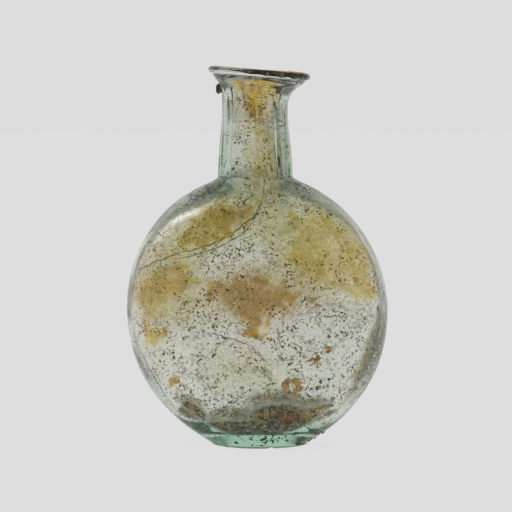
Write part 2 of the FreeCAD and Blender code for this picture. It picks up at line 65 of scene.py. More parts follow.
# %% Set up the camera
AIM = Vector((-0.41, 0, 60.1)) * MM
CAMERA_DISTANCE = 1100 * MM
CAMERA_RISE = math.radians(3)
PICTURE_WIDTH = 161.5 * MM
SENSOR_WIDTH = 36


def link(thing):
    """Puts a new object into the scene."""
    bpy.context.scene.collection.objects.link(thing)
    return thing


def look(thing, place, aim, upright="Y"):
    """Stands a camera or a lamp at a place and turns it to face another."""
    thing.location = place
    thing.rotation_euler = (aim - place).to_track_quat("-Z", upright).to_euler()


camera = link(bpy.data.objects.new("camera", bpy.data.cameras.new("camera")))
camera.data.sensor_width = SENSOR_WIDTH
camera.data.lens = SENSOR_WIDTH * CAMERA_DISTANCE / PICTURE_WIDTH
step_back = Vector((0, -math.cos(CAMERA_RISE), math.sin(CAMERA_RISE)))
look(camera, AIM + step_back * CAMERA_DISTANCE, AIM)
bpy.context.scene.camera = camera
bpy.context.scene.view_settings.view_transform = "Standard"
print("lens", round(camera.data.lens), "mm")

# %% [markdown]
# ## Helpers for materials
# Every finish here is a small net of shader nodes. Short helpers keep the nets readable: one adds a node and
# wires it, some do sums, one makes soft clouds of a given size in millimetres, one turns a cloud into a mask
# with soft edges, and the others mix colours or tell kinds of rays apart.

# %% Node helpers
# the middle of the clouds' range, where they mostly are
RAMP_START = 0.35
RAMP_SPAN = 0.3


def add(tree, kind, wires=None, **settings):
    """Adds a shader node. wires gives each socket a plain value or another node's output."""
    made = tree.nodes.new("ShaderNode" + kind)
    for name, value in settings.items():
        setattr(made, name, value)
    for socket, value in (wires or {}).items():
        if isinstance(value, bpy.types.NodeSocket):
            tree.links.new(value, made.inputs[socket])
        else:
            made.inputs[socket].default_value = value
    return made


def reckon(tree, how, *values):
    """One sum, kept between 0 and 1."""
    return add(tree, "Math", dict(enumerate(values)), operation=how, use_clamp=True).outputs[0]


def times(tree, one, other):
    """One value times another."""
    return reckon(tree, "MULTIPLY", one, other)


def fade_to(tree, share, level):
    """1 where share is 0, the level where it is 1."""
    return add(tree, "MapRange", {0: share, 3: 1.0, 4: level}).outputs[0]


def average(tree, one, other, share=0.5):
    """A mix of two values."""
    rest = times(tree, other, 1 - share)
    return reckon(tree, "MULTIPLY_ADD", one, share, rest)


def clouds(tree, size, shift=0.0, detail=3.0):
    """Soft clouds about size mm across, from 0 to 1. Another shift gives other clouds."""
    place = add(tree, "TexCoord").outputs["Object"]
    moved = add(tree, "VectorMath", {0: place, 1: (shift, shift, shift)}, operation="ADD").outputs[0]
    wires = {"Vector": moved, "Scale": 1 / (size * MM), "Detail": detail, "Roughness": 0.6}
    return add(tree, "TexNoise", wires).outputs[0]


def mask(tree, value, low, high):
    """0 below low, 1 above high, and a soft step between."""
    wires = {0: value, 1: low, 2: high, 3: 0.0, 4: 1.0}
    return add(tree, "MapRange", wires, interpolation_type="SMOOTHSTEP").outputs[0]


def tint(tree, share, first, second):
    """The first colour where share is 0, the second where it is 1."""
    wires = {0: share}
    for socket, colour in ((6, first), (7, second)):
        wires[socket] = colour if isinstance(colour, bpy.types.NodeSocket) else (*colour, 1)
    return add(tree, "Mix", wires, data_type="RGBA").outputs[2]


def ramp(tree, share, shades):
    """Runs evenly through a list of colours over the middle of the clouds' range."""
    made = add(tree, "ValToRGB", {0: share})
    stops = made.color_ramp.elements
    while len(stops) < len(shades):
        stops.new(0.5)
    for number, (stop, shade) in enumerate(zip(stops, shades)):
        stop.position = RAMP_START + RAMP_SPAN * number / (len(shades) - 1)
        stop.color = (*shade, 1)
    return made.outputs[0]


def ray_kinds(tree, *kinds):
    """1 for rays of any of the named kinds."""
    path = add(tree, "LightPath")
    found = 0.0
    for kind in kinds:
        found = reckon(tree, "MAXIMUM", path.outputs[f"Is {kind} Ray"], found)
    return found


def new_material(name):
    """An empty material, its node tree and its output node."""
    material = bpy.data.materials.new(name)
    material.use_nodes = True
    material.node_tree.nodes.clear()
    output = add(material.node_tree, "OutputMaterial")
    return material, material.node_tree, output


print("helpers ready")

# %% [markdown]
# ## Table, backdrop and light
# The photograph has one even pale grey from edge to edge, so table and backdrop can't be told apart. The
# world gives that grey to every ray that looks, also through the glass and in its reflections. What only
# gathers light gets a level of its own, so colours come out as they are written. A real studio is dark
# overhead and behind the camera, and rays that bounce about inside the glass find less and less light, with
# brighter and darker stripes to the sides. All this is given only to the rays that look through the glass or
# mirror in it, because it shades the shoulders, the rim and the sides of the neck.
#
# Two long softboxes, one within the other, stand high on the left. Their picture in the shoulder is the soft
# bright streak. A wide one fills in from the right. The table takes a faint shadow.

# %% World
BACKDROP = 0.722
AMBIENT = 0.90
ONE_BOUNCE_SHARE = 0.92
MORE_BOUNCES_SHARE = 0.80
OVERHEAD_SHARE = 0.36
OVERHEAD_START = 0.26
OVERHEAD_END = 0.72
FRONT_SHARE = 0.12
FRONT_START = 0.05
FRONT_END = 0.45
# how far to the side a bounced ray goes, and how bright the room is there
ROOM_STRIPES = ((0.0, 0.95), (0.2, 0.75), (0.36, 1.0), (0.6, 1.0), (0.78, 0.22), (1.0, 0.5))
# from which count on a ray has bounced once, and more than once
ONE_BOUNCE = (0.4, 0.6)
MORE_BOUNCES = (1.4, 1.6)


def grey_seen(tree, level):
    """The grey that a looking ray meets: the full level, or a share of it after bounces in the glass."""
    bounces = add(tree, "LightPath").outputs["Glossy Depth"]
    share = fade_to(tree, mask(tree, bounces, *ONE_BOUNCE), ONE_BOUNCE_SHARE)
    lower = fade_to(tree, mask(tree, bounces, *MORE_BOUNCES), MORE_BOUNCES_SHARE / ONE_BOUNCE_SHARE)
    return times(tree, times(tree, share, lower), level)


world = bpy.data.worlds.new("studio")
world.use_nodes = True
bpy.context.scene.world = world
studio = world.node_tree
studio.nodes.clear()
heading = add(studio, "SeparateXYZ", {0: add(studio, "TexCoord").outputs["Generated"]})
in_glass = ray_kinds(studio, "Glossy", "Transmission")
overhead = mask(studio, heading.outputs["Z"], OVERHEAD_START, OVERHEAD_END)
overhead = times(studio, overhead, in_glass)
room = fade_to(studio, overhead, OVERHEAD_SHARE)
to_front = mask(studio, heading.outputs["Y"], -FRONT_START, -FRONT_END)
to_front = times(studio, to_front, in_glass)
room = times(studio, room, fade_to(studio, to_front, FRONT_SHARE))
sideways = add(studio, "Math", {0: heading.outputs["X"]}, operation="ABSOLUTE").outputs[0]
stripes = add(studio, "FloatCurve", {"Value": sideways})
stripe_line = stripes.mapping.curves[0].points
while len(stripe_line) < len(ROOM_STRIPES):
    stripe_line.new(0.5, 0.5)
for point, place in zip(stripe_line, ROOM_STRIPES):
    point.location = place
stripes.mapping.update()
bounced = mask(studio, add(studio, "LightPath").outputs["Glossy Depth"], *ONE_BOUNCE)
room = times(studio, room, fade_to(studio, bounced, stripes.outputs[0]))
seen_level = times(studio, grey_seen(studio, BACKDROP), room)
seen = ray_kinds(studio, "Camera", "Glossy", "Transmission")
level = add(studio, "MapRange", {0: seen, 3: AMBIENT, 4: seen_level}).outputs[0]
sky = add(studio, "Background", {"Color": (1, 1, 1, 1), "Strength": level})
add(studio, "OutputWorld", {"Surface": sky.outputs[0]})
print("backdrop", BACKDROP, "ambient", AMBIENT)

# %% Table
TABLE_RADIUS = 6
TABLE_SIDES = 96
TABLE_SHADE = 0.72
SHADOW_SHADE = 0.03
TABLE_GLOW = 0.70
FRONT_TABLE_START = 0.03
FRONT_TABLE_END = 0.12


def table_finish():
    """A plain pale sheet. Rays that look see it glow a little, so that it meets the backdrop."""
    material, tree, output = new_material("table_paper")
    plain = add(tree, "BsdfDiffuse", {"Color": (TABLE_SHADE, TABLE_SHADE, TABLE_SHADE, 1)})
    shade = add(tree, "BsdfDiffuse", {"Color": (SHADOW_SHADE, SHADOW_SHADE, SHADOW_SHADE, 1)})
    place = add(tree, "SeparateXYZ", {0: add(tree, "TexCoord").outputs["Object"]}).outputs["Y"]
    # seen through or in the glass, the glow fades in front of the bottle: painted shade for the dark room
    # behind the camera
    in_front = mask(tree, place, -FRONT_TABLE_START, -FRONT_TABLE_END)
    in_front = times(tree, in_front, ray_kinds(tree, "Glossy", "Transmission"))
    strength = times(tree, grey_seen(tree, TABLE_GLOW), fade_to(tree, in_front, FRONT_SHARE))
    glow = add(tree, "Emission", {"Color": (1, 1, 1, 1), "Strength": strength})
    both = add(tree, "AddShader", {0: shade.outputs[0], 1: glow.outputs[0]})
    seen_share = ray_kinds(tree, "Camera", "Glossy", "Transmission")
    mixed = add(tree, "MixShader", {0: seen_share, 1: plain.outputs[0], 2: both.outputs[0]})
    tree.links.new(mixed.outputs[0], output.inputs["Surface"])
    return material


sheet = bmesh.new()
bmesh.ops.create_circle(sheet, cap_ends=True, segments=TABLE_SIDES, radius=TABLE_RADIUS)
table_mesh = bpy.data.meshes.new("table")
sheet.to_mesh(table_mesh)
sheet.free()
table_mesh.materials.append(table_finish())
table = link(bpy.data.objects.new("table", table_mesh))
print("table", TABLE_RADIUS, "m")

# %% Softboxes
# name, place in m, how long and wide in m, radiance, direction of the long side
SOFTBOXES = (
    ("key", (-0.527, -0.091, 0.551), 0.50, 0.11, 3.4, (-0.325, 0.899, -0.292)),
    ("key_middle", (-0.518, -0.092, 0.545), 0.28, 0.05, 4.0, (-0.325, 0.899, -0.292)),
    ("fill", (0.55, -0.45, 0.35), 0.60, 0.30, 1.1, (0, 0, 1)),
)
LIT_MIDDLE = Vector((0, 0, 0.06))

for name, place, length, width, radiance, along in SOFTBOXES:
    lamp = link(bpy.data.objects.new(name, bpy.data.lights.new(name, "AREA")))
    lamp.data.shape = "RECTANGLE"
    lamp.data.size = length
    lamp.data.size_y = width
    lamp.data.energy = radiance * math.pi * length * width
    facing = (Vector(place) - LIT_MIDDLE).normalized()
    side = (Vector(along) - facing * facing.dot(Vector(along))).normalized()
    turn = np.array((side, facing.cross(side), facing)).T
    lamp.rotation_euler = Matrix(turn.tolist()).to_euler()
    lamp.location = place
    lamp.visible_camera = False
    print(name, round(lamp.data.energy, 2), "W")

# %% [markdown]
# ## The glass
# A gather of glass was blown into a bubble, pressed flat, drawn out to a neck, and its rim was folded in.
# It could be made with a modifier on a simple cage, but the wall has to be right on both sides: the light
# bends at the outer skin and again at the inner one. So the whole vessel is one closed skin of rings. It
# runs from the middle of the foot up the outside, round the lip, down the bore and round the bubble.

# %% Sizes of the glass in mm
BODY_WIDTH = 82.4
BODY_DEPTH = 42.0
WIDEST = 43.0
BELLY_DROP = 44.0
CROWN_RISE = 43.1
FOOT_HALF_DEPTH = 8.7
FOOT_ROUND = (4.8, 2.9, 1.2)
FOOT_SWELL = 2.9
FOOT_SWELL_HEIGHT = 3.5
FOOT_SPREAD = 4.5
FOOT_SPREAD_HEIGHT = 1.9
KICK = (7.0, 3.8, 0.3)
CREASE = (4.3, 0.8, 0.45)
NECK_FOOT = 84.3
NECK_X = -0.72
NECK_FOOT_RADIUS = 11.8
NECK_WAIST_RADIUS = 10.4
NECK_FILLET = 3.2
FLARE_START = 108.0
RIM_HEIGHT = 117.7
FLARE_HEIGHT = RIM_HEIGHT - FLARE_START
FLARE_REACH = 4.6
RIM_SHIFT = 1.3
RIM_TILT = math.radians(4.7)
LIP_RADIUS = 15.0
LIP_ROUND = 1.1
BORE = 7.6
FUNNEL_REACH = LIP_RADIUS - LIP_ROUND - BORE
BUBBLE_HEIGHT = 43.9
BUBBLE_RADIUS = 39.8
BUBBLE_HALF_DEPTH = 19.3
FACE_ROUND = 64.5
EDGE_ROUND = 10.8
THROAT_FILLET = 6.0
LEAN = math.tan(math.radians(1))
AROUND = 192
TURNS = np.linspace(0, 2 * math.pi, AROUND, endpoint=False)


def smooth_max(one, other, reach):
    """The larger of two lengths, rounded where they cross."""
    overlap = np.clip(1 - np.abs(one - other) / reach, 0, 1)
    return np.maximum(one, other) + reach * overlap**2 / 4


def smooth_step(value, low, high):
    """0 below low, 1 above high, and a soft step between."""
    share = np.clip((value - low) / (high - low), 0, 1)
    return share * share * (3 - 2 * share)


def curve_through(points, steps, closed=False):
    """A smooth line through the given points, steps to each gap."""
    points = np.asarray(points, float)
    if closed:
        padded = np.vstack((points[-1:], points, points[:2]))
    else:
        padded = np.vstack((2 * points[0] - points[1], points, 2 * points[-1] - points[-2]))
    share = np.linspace(0, 1, steps, endpoint=False)[:, None]
    parts = []
    for before, start, end, after in zip(padded, padded[1:], padded[2:], padded[3:]):
        bend = 2 * before - 5 * start + 4 * end - after
        twist = 3 * start - before - 3 * end + after
        parts.append(start + 0.5 * share * (end - before + share * (bend + share * twist)))
    if not closed:
        parts.append(points[-1:])
    return np.vstack(parts)


def waves(points, seed, shortest, longest, count=14):
    """A gentle uneven field over points in mm: sines in chance directions, about -1 to 1."""
    draws = np.random.default_rng(seed)
    total = np.zeros(len(points))
    for _ in range(count):
        heading = draws.normal(size=3)
        heading /= np.linalg.norm(heading)
        length = draws.uniform(shortest, longest)
        total += np.sin(points @ heading * (2 * math.pi / length) + draws.uniform(0, 2 * math.pi))
    return total / math.sqrt(count)


print("rings have", AROUND, "points")

# %% [markdown]
# The outside is a stack of rings. Seen from the front the body is a circle with a slightly flattened foot,
# and seen from the side it is a lens, so every ring is an oval with its own width and depth. Where the
# body meets the neck the two shapes are blended, which gives the soft fillet of worked glass.

# %% Rings of the outside
FOOT_RINGS = 8
KICK_RINGS = 10
ROUND_RINGS = 12
BELLY_RINGS = 80
CROWN_RINGS = 90
NECK_RINGS = 46
CROWN_GAP = 1.5
NECK_WAIST_SHARE = 0.85
BELLY_POWER = 1.7
CROWN_POWER = 0.9


def oval(middle, half_width, half_depth, height):
    """One ring of points in mm."""
    heights = np.broadcast_to(height, AROUND)
    return np.stack((middle + half_width * np.cos(TURNS), half_depth * np.sin(TURNS), heights), 1)


def roundness(height):
    """How wide the body's circle is at a height, as a share of its full width."""
    reach = BELLY_DROP if height < WIDEST else CROWN_RISE
    return math.sqrt(max(0, 1 - ((height - WIDEST) / reach) ** 2))


def body_half_width(height):
    """Width follows the circle, and spreads a little towards the foot."""
    return BODY_WIDTH / 2 * roundness(height) + FOOT_SPREAD * math.exp(-height / FOOT_SPREAD_HEIGHT)


def body_half_depth(height):
    """Depth follows the width, only faster: the lens is thick over most of its face."""
    wide = roundness(height)
    if height < WIDEST:
        start = roundness(0) ** BELLY_POWER
        share = (wide**BELLY_POWER - start) / (1 - start)
        swell = FOOT_SWELL * math.exp(-height / FOOT_SWELL_HEIGHT)
        return FOOT_HALF_DEPTH + (BODY_DEPTH / 2 - FOOT_HALF_DEPTH) * share + swell
    start = roundness(NECK_FOOT)
    if wide < start:
        return NECK_FOOT_RADIUS * wide / start
    share = ((wide**2 - start**2) / (1 - start**2)) ** CROWN_POWER
    return NECK_FOOT_RADIUS + (BODY_DEPTH / 2 - NECK_FOOT_RADIUS) * share


def wall_ring(height):
    """A ring of the wall between the foot and the flare."""
    climb = (height - NECK_FOOT) / (FLARE_START - NECK_FOOT)
    neck = NECK_FOOT_RADIUS - (NECK_FOOT_RADIUS - NECK_WAIST_RADIUS) * smooth_step(climb, 0, NECK_WAIST_SHARE)
    half_width = smooth_max(body_half_width(height), neck, NECK_FILLET)
    half_depth = smooth_max(body_half_depth(height), neck, NECK_FILLET)
    if height < WIDEST:
        half_width = body_half_width(height)
        half_depth = body_half_depth(height)
    return oval(max((WIDEST - height) * LEAN, NECK_X), half_width, half_depth, height)


def foot_rings():
    """The shallow kick in the middle of the foot, the flat rest round it and its rounded edge."""
    across, deep, rise = KICK
    middle = WIDEST * LEAN
    rings = []
    for share in np.linspace(1 / KICK_RINGS, 1, KICK_RINGS):
        rings.append(oval(middle, across * share, deep * share, rise * (1 - share**2) ** 2))
    round_across, round_deep, round_high = FOOT_ROUND
    edge = wall_ring(round_high)
    half_width = np.ptp(edge[:, 0]) / 2
    half_depth = np.ptp(edge[:, 1]) / 2
    for share in np.linspace(0, 1, FOOT_RINGS, endpoint=False)[1:]:
        wide = across + (half_width - round_across - across) * share
        rings.append(oval(middle, wide, deep + (half_depth - round_deep - deep) * share, 0))
    for angle in np.linspace(0, math.pi / 2, ROUND_RINGS, endpoint=False):
        inset = 1 - math.sin(angle)
        lift = round_high * (1 - math.cos(angle))
        rings.append(oval(middle, half_width - round_across * inset, half_depth - round_deep * inset, lift))
    return rings


def wall_rings():
    """Even steps round the belly and the crown, then up the neck."""
    low = math.asin((WIDEST - FOOT_ROUND[2]) / BELLY_DROP)
    high = math.asin((NECK_FOOT - CROWN_GAP - WIDEST) / CROWN_RISE)
    heights = [WIDEST - BELLY_DROP * math.sin(turn) for turn in np.linspace(low, 0, BELLY_RINGS)]
    heights += [WIDEST + CROWN_RISE * math.sin(turn) for turn in np.linspace(0, high, CROWN_RINGS)[1:]]
    heights += list(np.linspace(heights[-1], FLARE_START, NECK_RINGS)[1:])
    return [wall_ring(height) for height in heights]


outside = foot_rings() + wall_rings()
print("outside:", len(outside), "rings")

# %% [markdown]
# The rim is round, but it stands askew and a little to the right of the neck. Its rings are drawn in the
# rim's own plane, and each one takes a share of the tilt: none where the flare leaves the neck, all of it
# at the lip. The lip is a round bead, because the hot edge was rolled in on itself.

# %% Rings of the flare, the lip and the funnel
# share of the flare's height still to climb, share of the outward reach, share of the tilt
FLARE_SHARES = ((1.0, 0.0, 0.0), (0.8, 0.045, 0.25), (0.6, 0.16, 0.5), (0.42, 0.41, 0.8), (0.25, 0.78, 1.0),
                (0.12, 0.955, 1.0))
FUNNEL_SHARES = ((0.09, 0.93, 1.0), (0.25, 0.62, 1.0), (0.42, 0.31, 0.8), (0.59, 0.12, 0.5),
                 (0.8, 0.02, 0.25), (1.0, 0.0, 0.0))
LIP_START = math.radians(-100)
LIP_STEPS = 26
RIM_STEPS = 6


def rim_ring(drop, reach, tilt_share):
    """A ring of a given reach, drop mm below the rim's plane."""
    tilt = RIM_TILT * tilt_share
    across = reach * np.cos(TURNS)
    x = NECK_X + RIM_SHIFT * tilt_share + across * math.cos(tilt) - drop * math.sin(tilt)
    z = RIM_HEIGHT - across * math.sin(tilt) - drop * math.cos(tilt)
    return np.stack((x, reach * np.sin(TURNS), z), 1)


def lip_points(middle, radius, turns):
    """Drop, reach and share of the tilt of points on the lip's round section."""
    return [(-radius * math.sin(turn), middle + radius * math.cos(turn), 1.0) for turn in turns]


flare = [(left * FLARE_HEIGHT, NECK_WAIST_RADIUS + FLARE_REACH * reach, tilt)
         for left, reach, tilt in FLARE_SHARES]
lip = lip_points(LIP_RADIUS, LIP_ROUND, np.linspace(LIP_START, math.pi, LIP_STEPS))
funnel = [(left * FLARE_HEIGHT, BORE + FUNNEL_REACH * reach, tilt) for left, reach, tilt in FUNNEL_SHARES]
outside += [rim_ring(*row) for row in curve_through(flare, RIM_STEPS)[1:]]
outside += [rim_ring(*row) for row in lip]
inside = [rim_ring(*row) for row in curve_through(funnel, RIM_STEPS)]
print("with the lip:", len(outside), "rings, funnel:", len(inside))

# %% [markdown]
# The inside is a smaller lens with the bore running into it. From the middle of the lens every part of it
# can be seen in a straight line, so the skin is found by going out along a ray until the lens ends. Bore
# and lens are blended where they meet. The wall is uneven, as blown glass is: thick at the foot, thicker
# again at the shoulders, thin at the sides.

# %% Rings of the bubble
BUBBLE_RINGS = 190
FLOOR_BULGE = 1.7
FLOOR_BULGE_TURN = math.radians(34)
FLOOR_BULGE_SPREAD = math.radians(14)
FLOOR_DIP = -1.1
SHOULDER_DIP = -1.4
SHOULDER_TURN = math.radians(148)
SHOULDER_SPREAD = math.radians(17)
# the heights between which the bubble moves over to the neck's middle
SHIFT_HEIGHTS = (20, 70)
LONGEST_REACH = 60.0
HALVINGS = 40
FALL_STEPS = 1500


def bubble_outline(turn):
    """How far the bubble's outline is from its middle, by the turn away from straight down."""
    turn = np.abs(turn)
    left = BUBBLE_RADIUS + FLOOR_BULGE * np.exp(-(((turn - FLOOR_BULGE_TURN) / FLOOR_BULGE_SPREAD) ** 2))
    left += FLOOR_DIP * np.exp(-((turn / FLOOR_BULGE_SPREAD) ** 2))
    return left + SHOULDER_DIP * np.exp(-(((turn - SHOULDER_TURN) / SHOULDER_SPREAD) ** 2))


def bubble_half_depth(reach):
    """Half the lens's depth, by the distance from its middle: a broad face and a round edge."""
    face = BUBBLE_HALF_DEPTH - FACE_ROUND + np.sqrt(FACE_ROUND**2 - np.minimum(reach, FACE_ROUND) ** 2)
    edge_middle = BUBBLE_RADIUS - EDGE_ROUND
    edge = np.sqrt(np.clip(EDGE_ROUND**2 - (reach - edge_middle) ** 2, 0, None))
    meeting = edge_middle * FACE_ROUND / (FACE_ROUND - EDGE_ROUND)
    return np.where(reach < meeting, face, edge)


def bubble_reach(across, deep, up):
    """How far a ray from the middle goes before it meets the glass."""
    stretch = BUBBLE_RADIUS / bubble_outline(np.arctan2(across, -up))
    near = np.zeros(across.shape)
    far = np.full(across.shape, LONGEST_REACH)
    for _ in range(HALVINGS):
        middle = (near + far) / 2
        spread = middle * np.hypot(across, up) * stretch
        is_open = (spread < BUBBLE_RADIUS) & (middle * np.abs(deep) < bubble_half_depth(spread))
        near = np.where(is_open, middle, near)
        far = np.where(is_open, far, middle)
    return near


def bubble_ring(fall):
    """A ring of the bore or the bubble, fall being the angle down from the neck."""
    across = math.sin(fall) * np.cos(TURNS)
    deep = math.sin(fall) * np.sin(TURNS)
    up = np.full(AROUND, math.cos(fall))
    reach = bubble_reach(across, deep, up)
    if fall < math.pi / 2:
        reach = smooth_max(reach, np.full(AROUND, BORE / math.sin(fall)), THROAT_FILLET)
    z = BUBBLE_HEIGHT + reach * up
    return np.stack((reach * across + NECK_X * smooth_step(z, *SHIFT_HEIGHTS), reach * deep, z), 1)


bore_start = math.atan2(BORE, FLARE_START - BUBBLE_HEIGHT)
falls = np.linspace(bore_start, math.pi, FALL_STEPS)[:-1]
side_line = np.array([bubble_ring(fall)[0] for fall in falls])
path = np.concatenate(([0], np.cumsum(np.linalg.norm(np.diff(side_line, axis=0), axis=1))))
even_falls = np.interp(np.linspace(0, path[-1], BUBBLE_RINGS), path, falls)
inside += [bubble_ring(fall) for fall in even_falls[1:]]
print("inside:", len(inside), "rings; bubble's floor at", round(float(inside[-1][0][2]), 2), "mm")

# %% [markdown]
# One skin joins both stacks. Each end is closed with a fan of triangles. Then the skin is moved a little in
# and out along its own normals, because hand-blown glass is never true: that slight waviness bends what is
# seen through the bottle. The neck has faint lengthwise streaks from being drawn out.

# %% Join the rings into one skin
OUTER_WAVE = 0.07
INNER_WAVE = 0.10
FINE_WAVE = 0.012
STRIA_DEPTH = 0.09
# seed, then the shortest and the longest wave in mm
OUTER_WAVES = (11, 16, 36)
OUTER_RIPPLES = (12, 4, 9)
INNER_WAVES = (21, 14, 34)
INNER_RIPPLES = (22, 3, 7)
STRIAE = (31, 1.6, 5)
STRIA_HEIGHT_SHARE = 0.06
STRIA_START = (80, 90)
STRIA_END = (104, 116)
CALM_FOOT = (1, 4)
CREASE_HEIGHT = 1.2


def join_rings(rings, poles=True):
    """Points and faces of a stack of rings, closed at both ends."""
    count = len(rings)
    around = len(rings[0])
    points = np.vstack(rings)
    faces = []
    for row in range(count - 1):
        for step in range(around):
            here = row * around + step
            beside = row * around + (step + 1) % around
            faces.append((here, beside, beside + around, here + around))
    if poles:
        points = np.vstack((points, rings[0].mean(0), rings[-1].mean(0)))
        last = (count - 1) * around
        for step in range(around):
            beside = (step + 1) % around
            faces.append((count * around, beside, step))
            faces.append((count * around + 1, last + step, last + beside))
    return points, faces


def new_piece(name, points, faces, material, soft=True):
    """A mesh object made from points in mm. It rides on the bottle."""
    mesh = bpy.data.meshes.new(name)
    mesh.from_pydata((np.asarray(points) * MM).tolist(), [], faces)
    mesh.polygons.foreach_set("use_smooth", [soft] * len(faces))
    mesh.materials.append(material)
    piece = link(bpy.data.objects.new(name, mesh))
    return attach(piece, "root")


def normals_of(piece):
    """Which way the surface faces at each point."""
    flat = np.empty(len(piece.data.vertices) * 3)
    piece.data.vertices.foreach_get("normal", flat)
    return flat.reshape(-1, 3)


def mark(piece, name, values):
    """Stores one number for each point, for a material to read."""
    stored = piece.data.attributes.new(name, "FLOAT", "POINT")
    stored.data.foreach_set("value", np.asarray(values, float))


points, faces = join_rings(outside + inside)
inner_start = len(outside) * AROUND
is_inner = np.zeros(len(points))
is_inner[inner_start:] = 1
is_inner[-2] = 0
points[-2, 2] = KICK[2]
glass_skin, glass_tree, glass_output = new_material("old_pale_glass")
vessel = new_piece("blown_glass", points, faces, glass_skin)
normals = normals_of(vessel)
neck_share = smooth_step(points[:, 2], *STRIA_START) * (1 - smooth_step(points[:, 2], *STRIA_END))
calm = smooth_step(points[:, 2], *CALM_FOOT)
outer_move = OUTER_WAVE * waves(points, *OUTER_WAVES) + FINE_WAVE * waves(points, *OUTER_RIPPLES)
inner_move = INNER_WAVE * waves(points, *INNER_WAVES) + FINE_WAVE * waves(points, *INNER_RIPPLES)
flat_points = points * (1, 1, STRIA_HEIGHT_SHARE)
stria_move = STRIA_DEPTH * waves(flat_points, *STRIAE) * neck_share
move = np.where(is_inner > 0, inner_move, outer_move * calm) + stria_move
points = points + normals * move[:, None]
place, spread, depth = CREASE
low = (points[:, 2] < CREASE_HEIGHT) & (is_inner == 0)
crease = depth * np.exp(-(((points[:, 0] - place) / spread) ** 2))
crease *= np.clip(1 - points[:, 2] / CREASE_HEIGHT, 0, 1)
points[low, 2] += crease[low]
vessel.data.vertices.foreach_set("co", (points * MM).ravel())
vessel.data.update()
mark(vessel, "inner", is_inner)
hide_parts("glass_vessel")
print(vessel.name, len(points), "points")

# %% [markdown]
# ## Stains in the glass
# Lying in damp ground turns the surface of old glass milky and lets iron and clay stain it yellow and brown.
# These films are part of the glass, so they aren't pieces of their own. Each one is dabbed onto the inner
# skin as soft ovals on the front or the back wall. The material reads the dabs and breaks them up.
# Milk and tan also lie over the whole inside, thinly at the front. The outer skin only takes a faint warm
# tone, which grows from the foot to the shoulders.

# %% Dab the films on
# least strength on the front wall and on the back wall
FILM_FLOORS = {"milk": (0.04, 0.70), "tan": (0.02, 0.18)}
NECK_FILM_SHARE = 0.45
# middle across, middle up, half width, half height in mm, turn in degrees, strength
SILT_DABS = (
    (0, 6.5, 22, 3.0, 0, 2.5), (19, 11.5, 10, 3.0, 10, 1.8), (7, 11.0, 9, 4.0, 0, 2.0),
    (-19.5, 12.5, 5, 2.2, -35, 1.6),
)
# for each film its dabs on the front wall, then those on the back wall
FILMS = {
    "milk": (
        ((-4, 28, 14, 9, 0, 0.2), (-31, 60, 6, 6, 0, 0.6)),
        ((0, 34, 36, 24, 0, 0.85), (0, 62, 20, 12, 0, 0.7), (-5, 95, 6, 14, 0, 0.30)),
    ),
    "tan": (
        ((0, 26, 30, 14, 0, 0.25), (20, 60, 20, 18, 0, 0.5), (-20, 66, 20, 12, 30, 0.5)),
        ((0, 24, 26, 14, 0, 0.4), (-24, 48, 16, 16, 0, 0.5), (10, 60, 20, 14, 0, 0.6)),
    ),
    "yellow": (
        ((22, 62, 19, 15, -30, 0.9), (-29, 49, 11, 12, 0, 0.75), (-17, 68, 19, 8, 33, 0.9),
         (3, 90, 7, 12, 0, 0.75), (-30, 33, 9, 10, 0, 0.35), (-8, 30, 16, 8, 0, 0.3),
         (6, 71, 9, 8, 0, 0.6), (-1, 47, 16, 8, 0, 0.6)),
        ((-26, 50, 13, 14, 0, 0.8), (0, 106, 9, 13, 0, 0.8), (3, 92, 7, 13, 0, 1.0), (3, 50, 22, 10, 0, 0.75),
         (18, 60, 18, 15, 0, 0.7), (4, 72, 16, 9, 0, 0.7), (-4, 20, 16, 6, 0, 0.5)),
    ),
    "silt": (SILT_DABS, SILT_DABS),
    "brown": (
        ((-6, 75, 9, 6, 30, 0.7), (-9, 74.5, 4, 2, 35, 1.1), (3, 81, 9, 5, 0, 0.85), (-2, 47, 15, 7, 0, 0.35),
         (36.5, 30, 19, 3.5, 66, 1.5)),
        ((-1, 48, 21, 10, 0, 0.6), (1, 83, 8, 5, 0, 0.9), (-2.4, 108, 8, 2.2, -62, 1.4),
         (36.5, 30, 19, 3.5, 66, 1.5)),
    ),
    # a dark film: its two slanting dabs at the shoulders, where the bubble meets the bore, are painted shade;
    # its other dabs are grime
    "grime_and_shade": (
        ((8, 93, 3, 13, 0, 0.8), (-14, 81, 10, 3.0, 28, 1.4), (14, 81, 9, 2.6, -28, 1.2),
         (7, 104, 5, 6, 0, 0.8), (-7, 106, 3, 4, 0, 0.6), (37.5, 34, 20, 2.6, 72, 0.9)),
        ((7, 93, 4, 13, 0, 0.7), (-14, 81, 10, 3.0, 28, 1.4), (14, 81, 9, 2.6, -28, 1.2),
         (37.5, 34, 20, 2.6, 72, 0.9)),
    ),
    "rust": (
        ((9.2, 10.6, 4.2, 2.8, 0, 1.8), (-3, 7.2, 12, 1.4, 0, 0.8)),
        ((9.2, 10.6, 4.2, 2.8, 0, 1.8),),
    ),
}
# films that stop short of the bubble's lower edge, where the clear thick glass begins
FLOOR_FILMS = ("milk", "tan", "silt", "rust")
BUBBLE_EDGE = (38.8, 39.9)
SIDE_CLEARING = 1.5
SIDE_CLEARING_WIDTH = 20
SIDE_BLEND = 3
# heights in mm between which each of these sets in
WEATHER_START = (8, 20)
SHOULDER_START = (62, 82)
NECK_START = (80, 88)
FLOOR_START = (6, 11)
BODY_WEATHER_SHARE = 0.4
BODY_LINE_SHARE = 0.5
DAB_POWER = 1.5
COVERED = 0.3


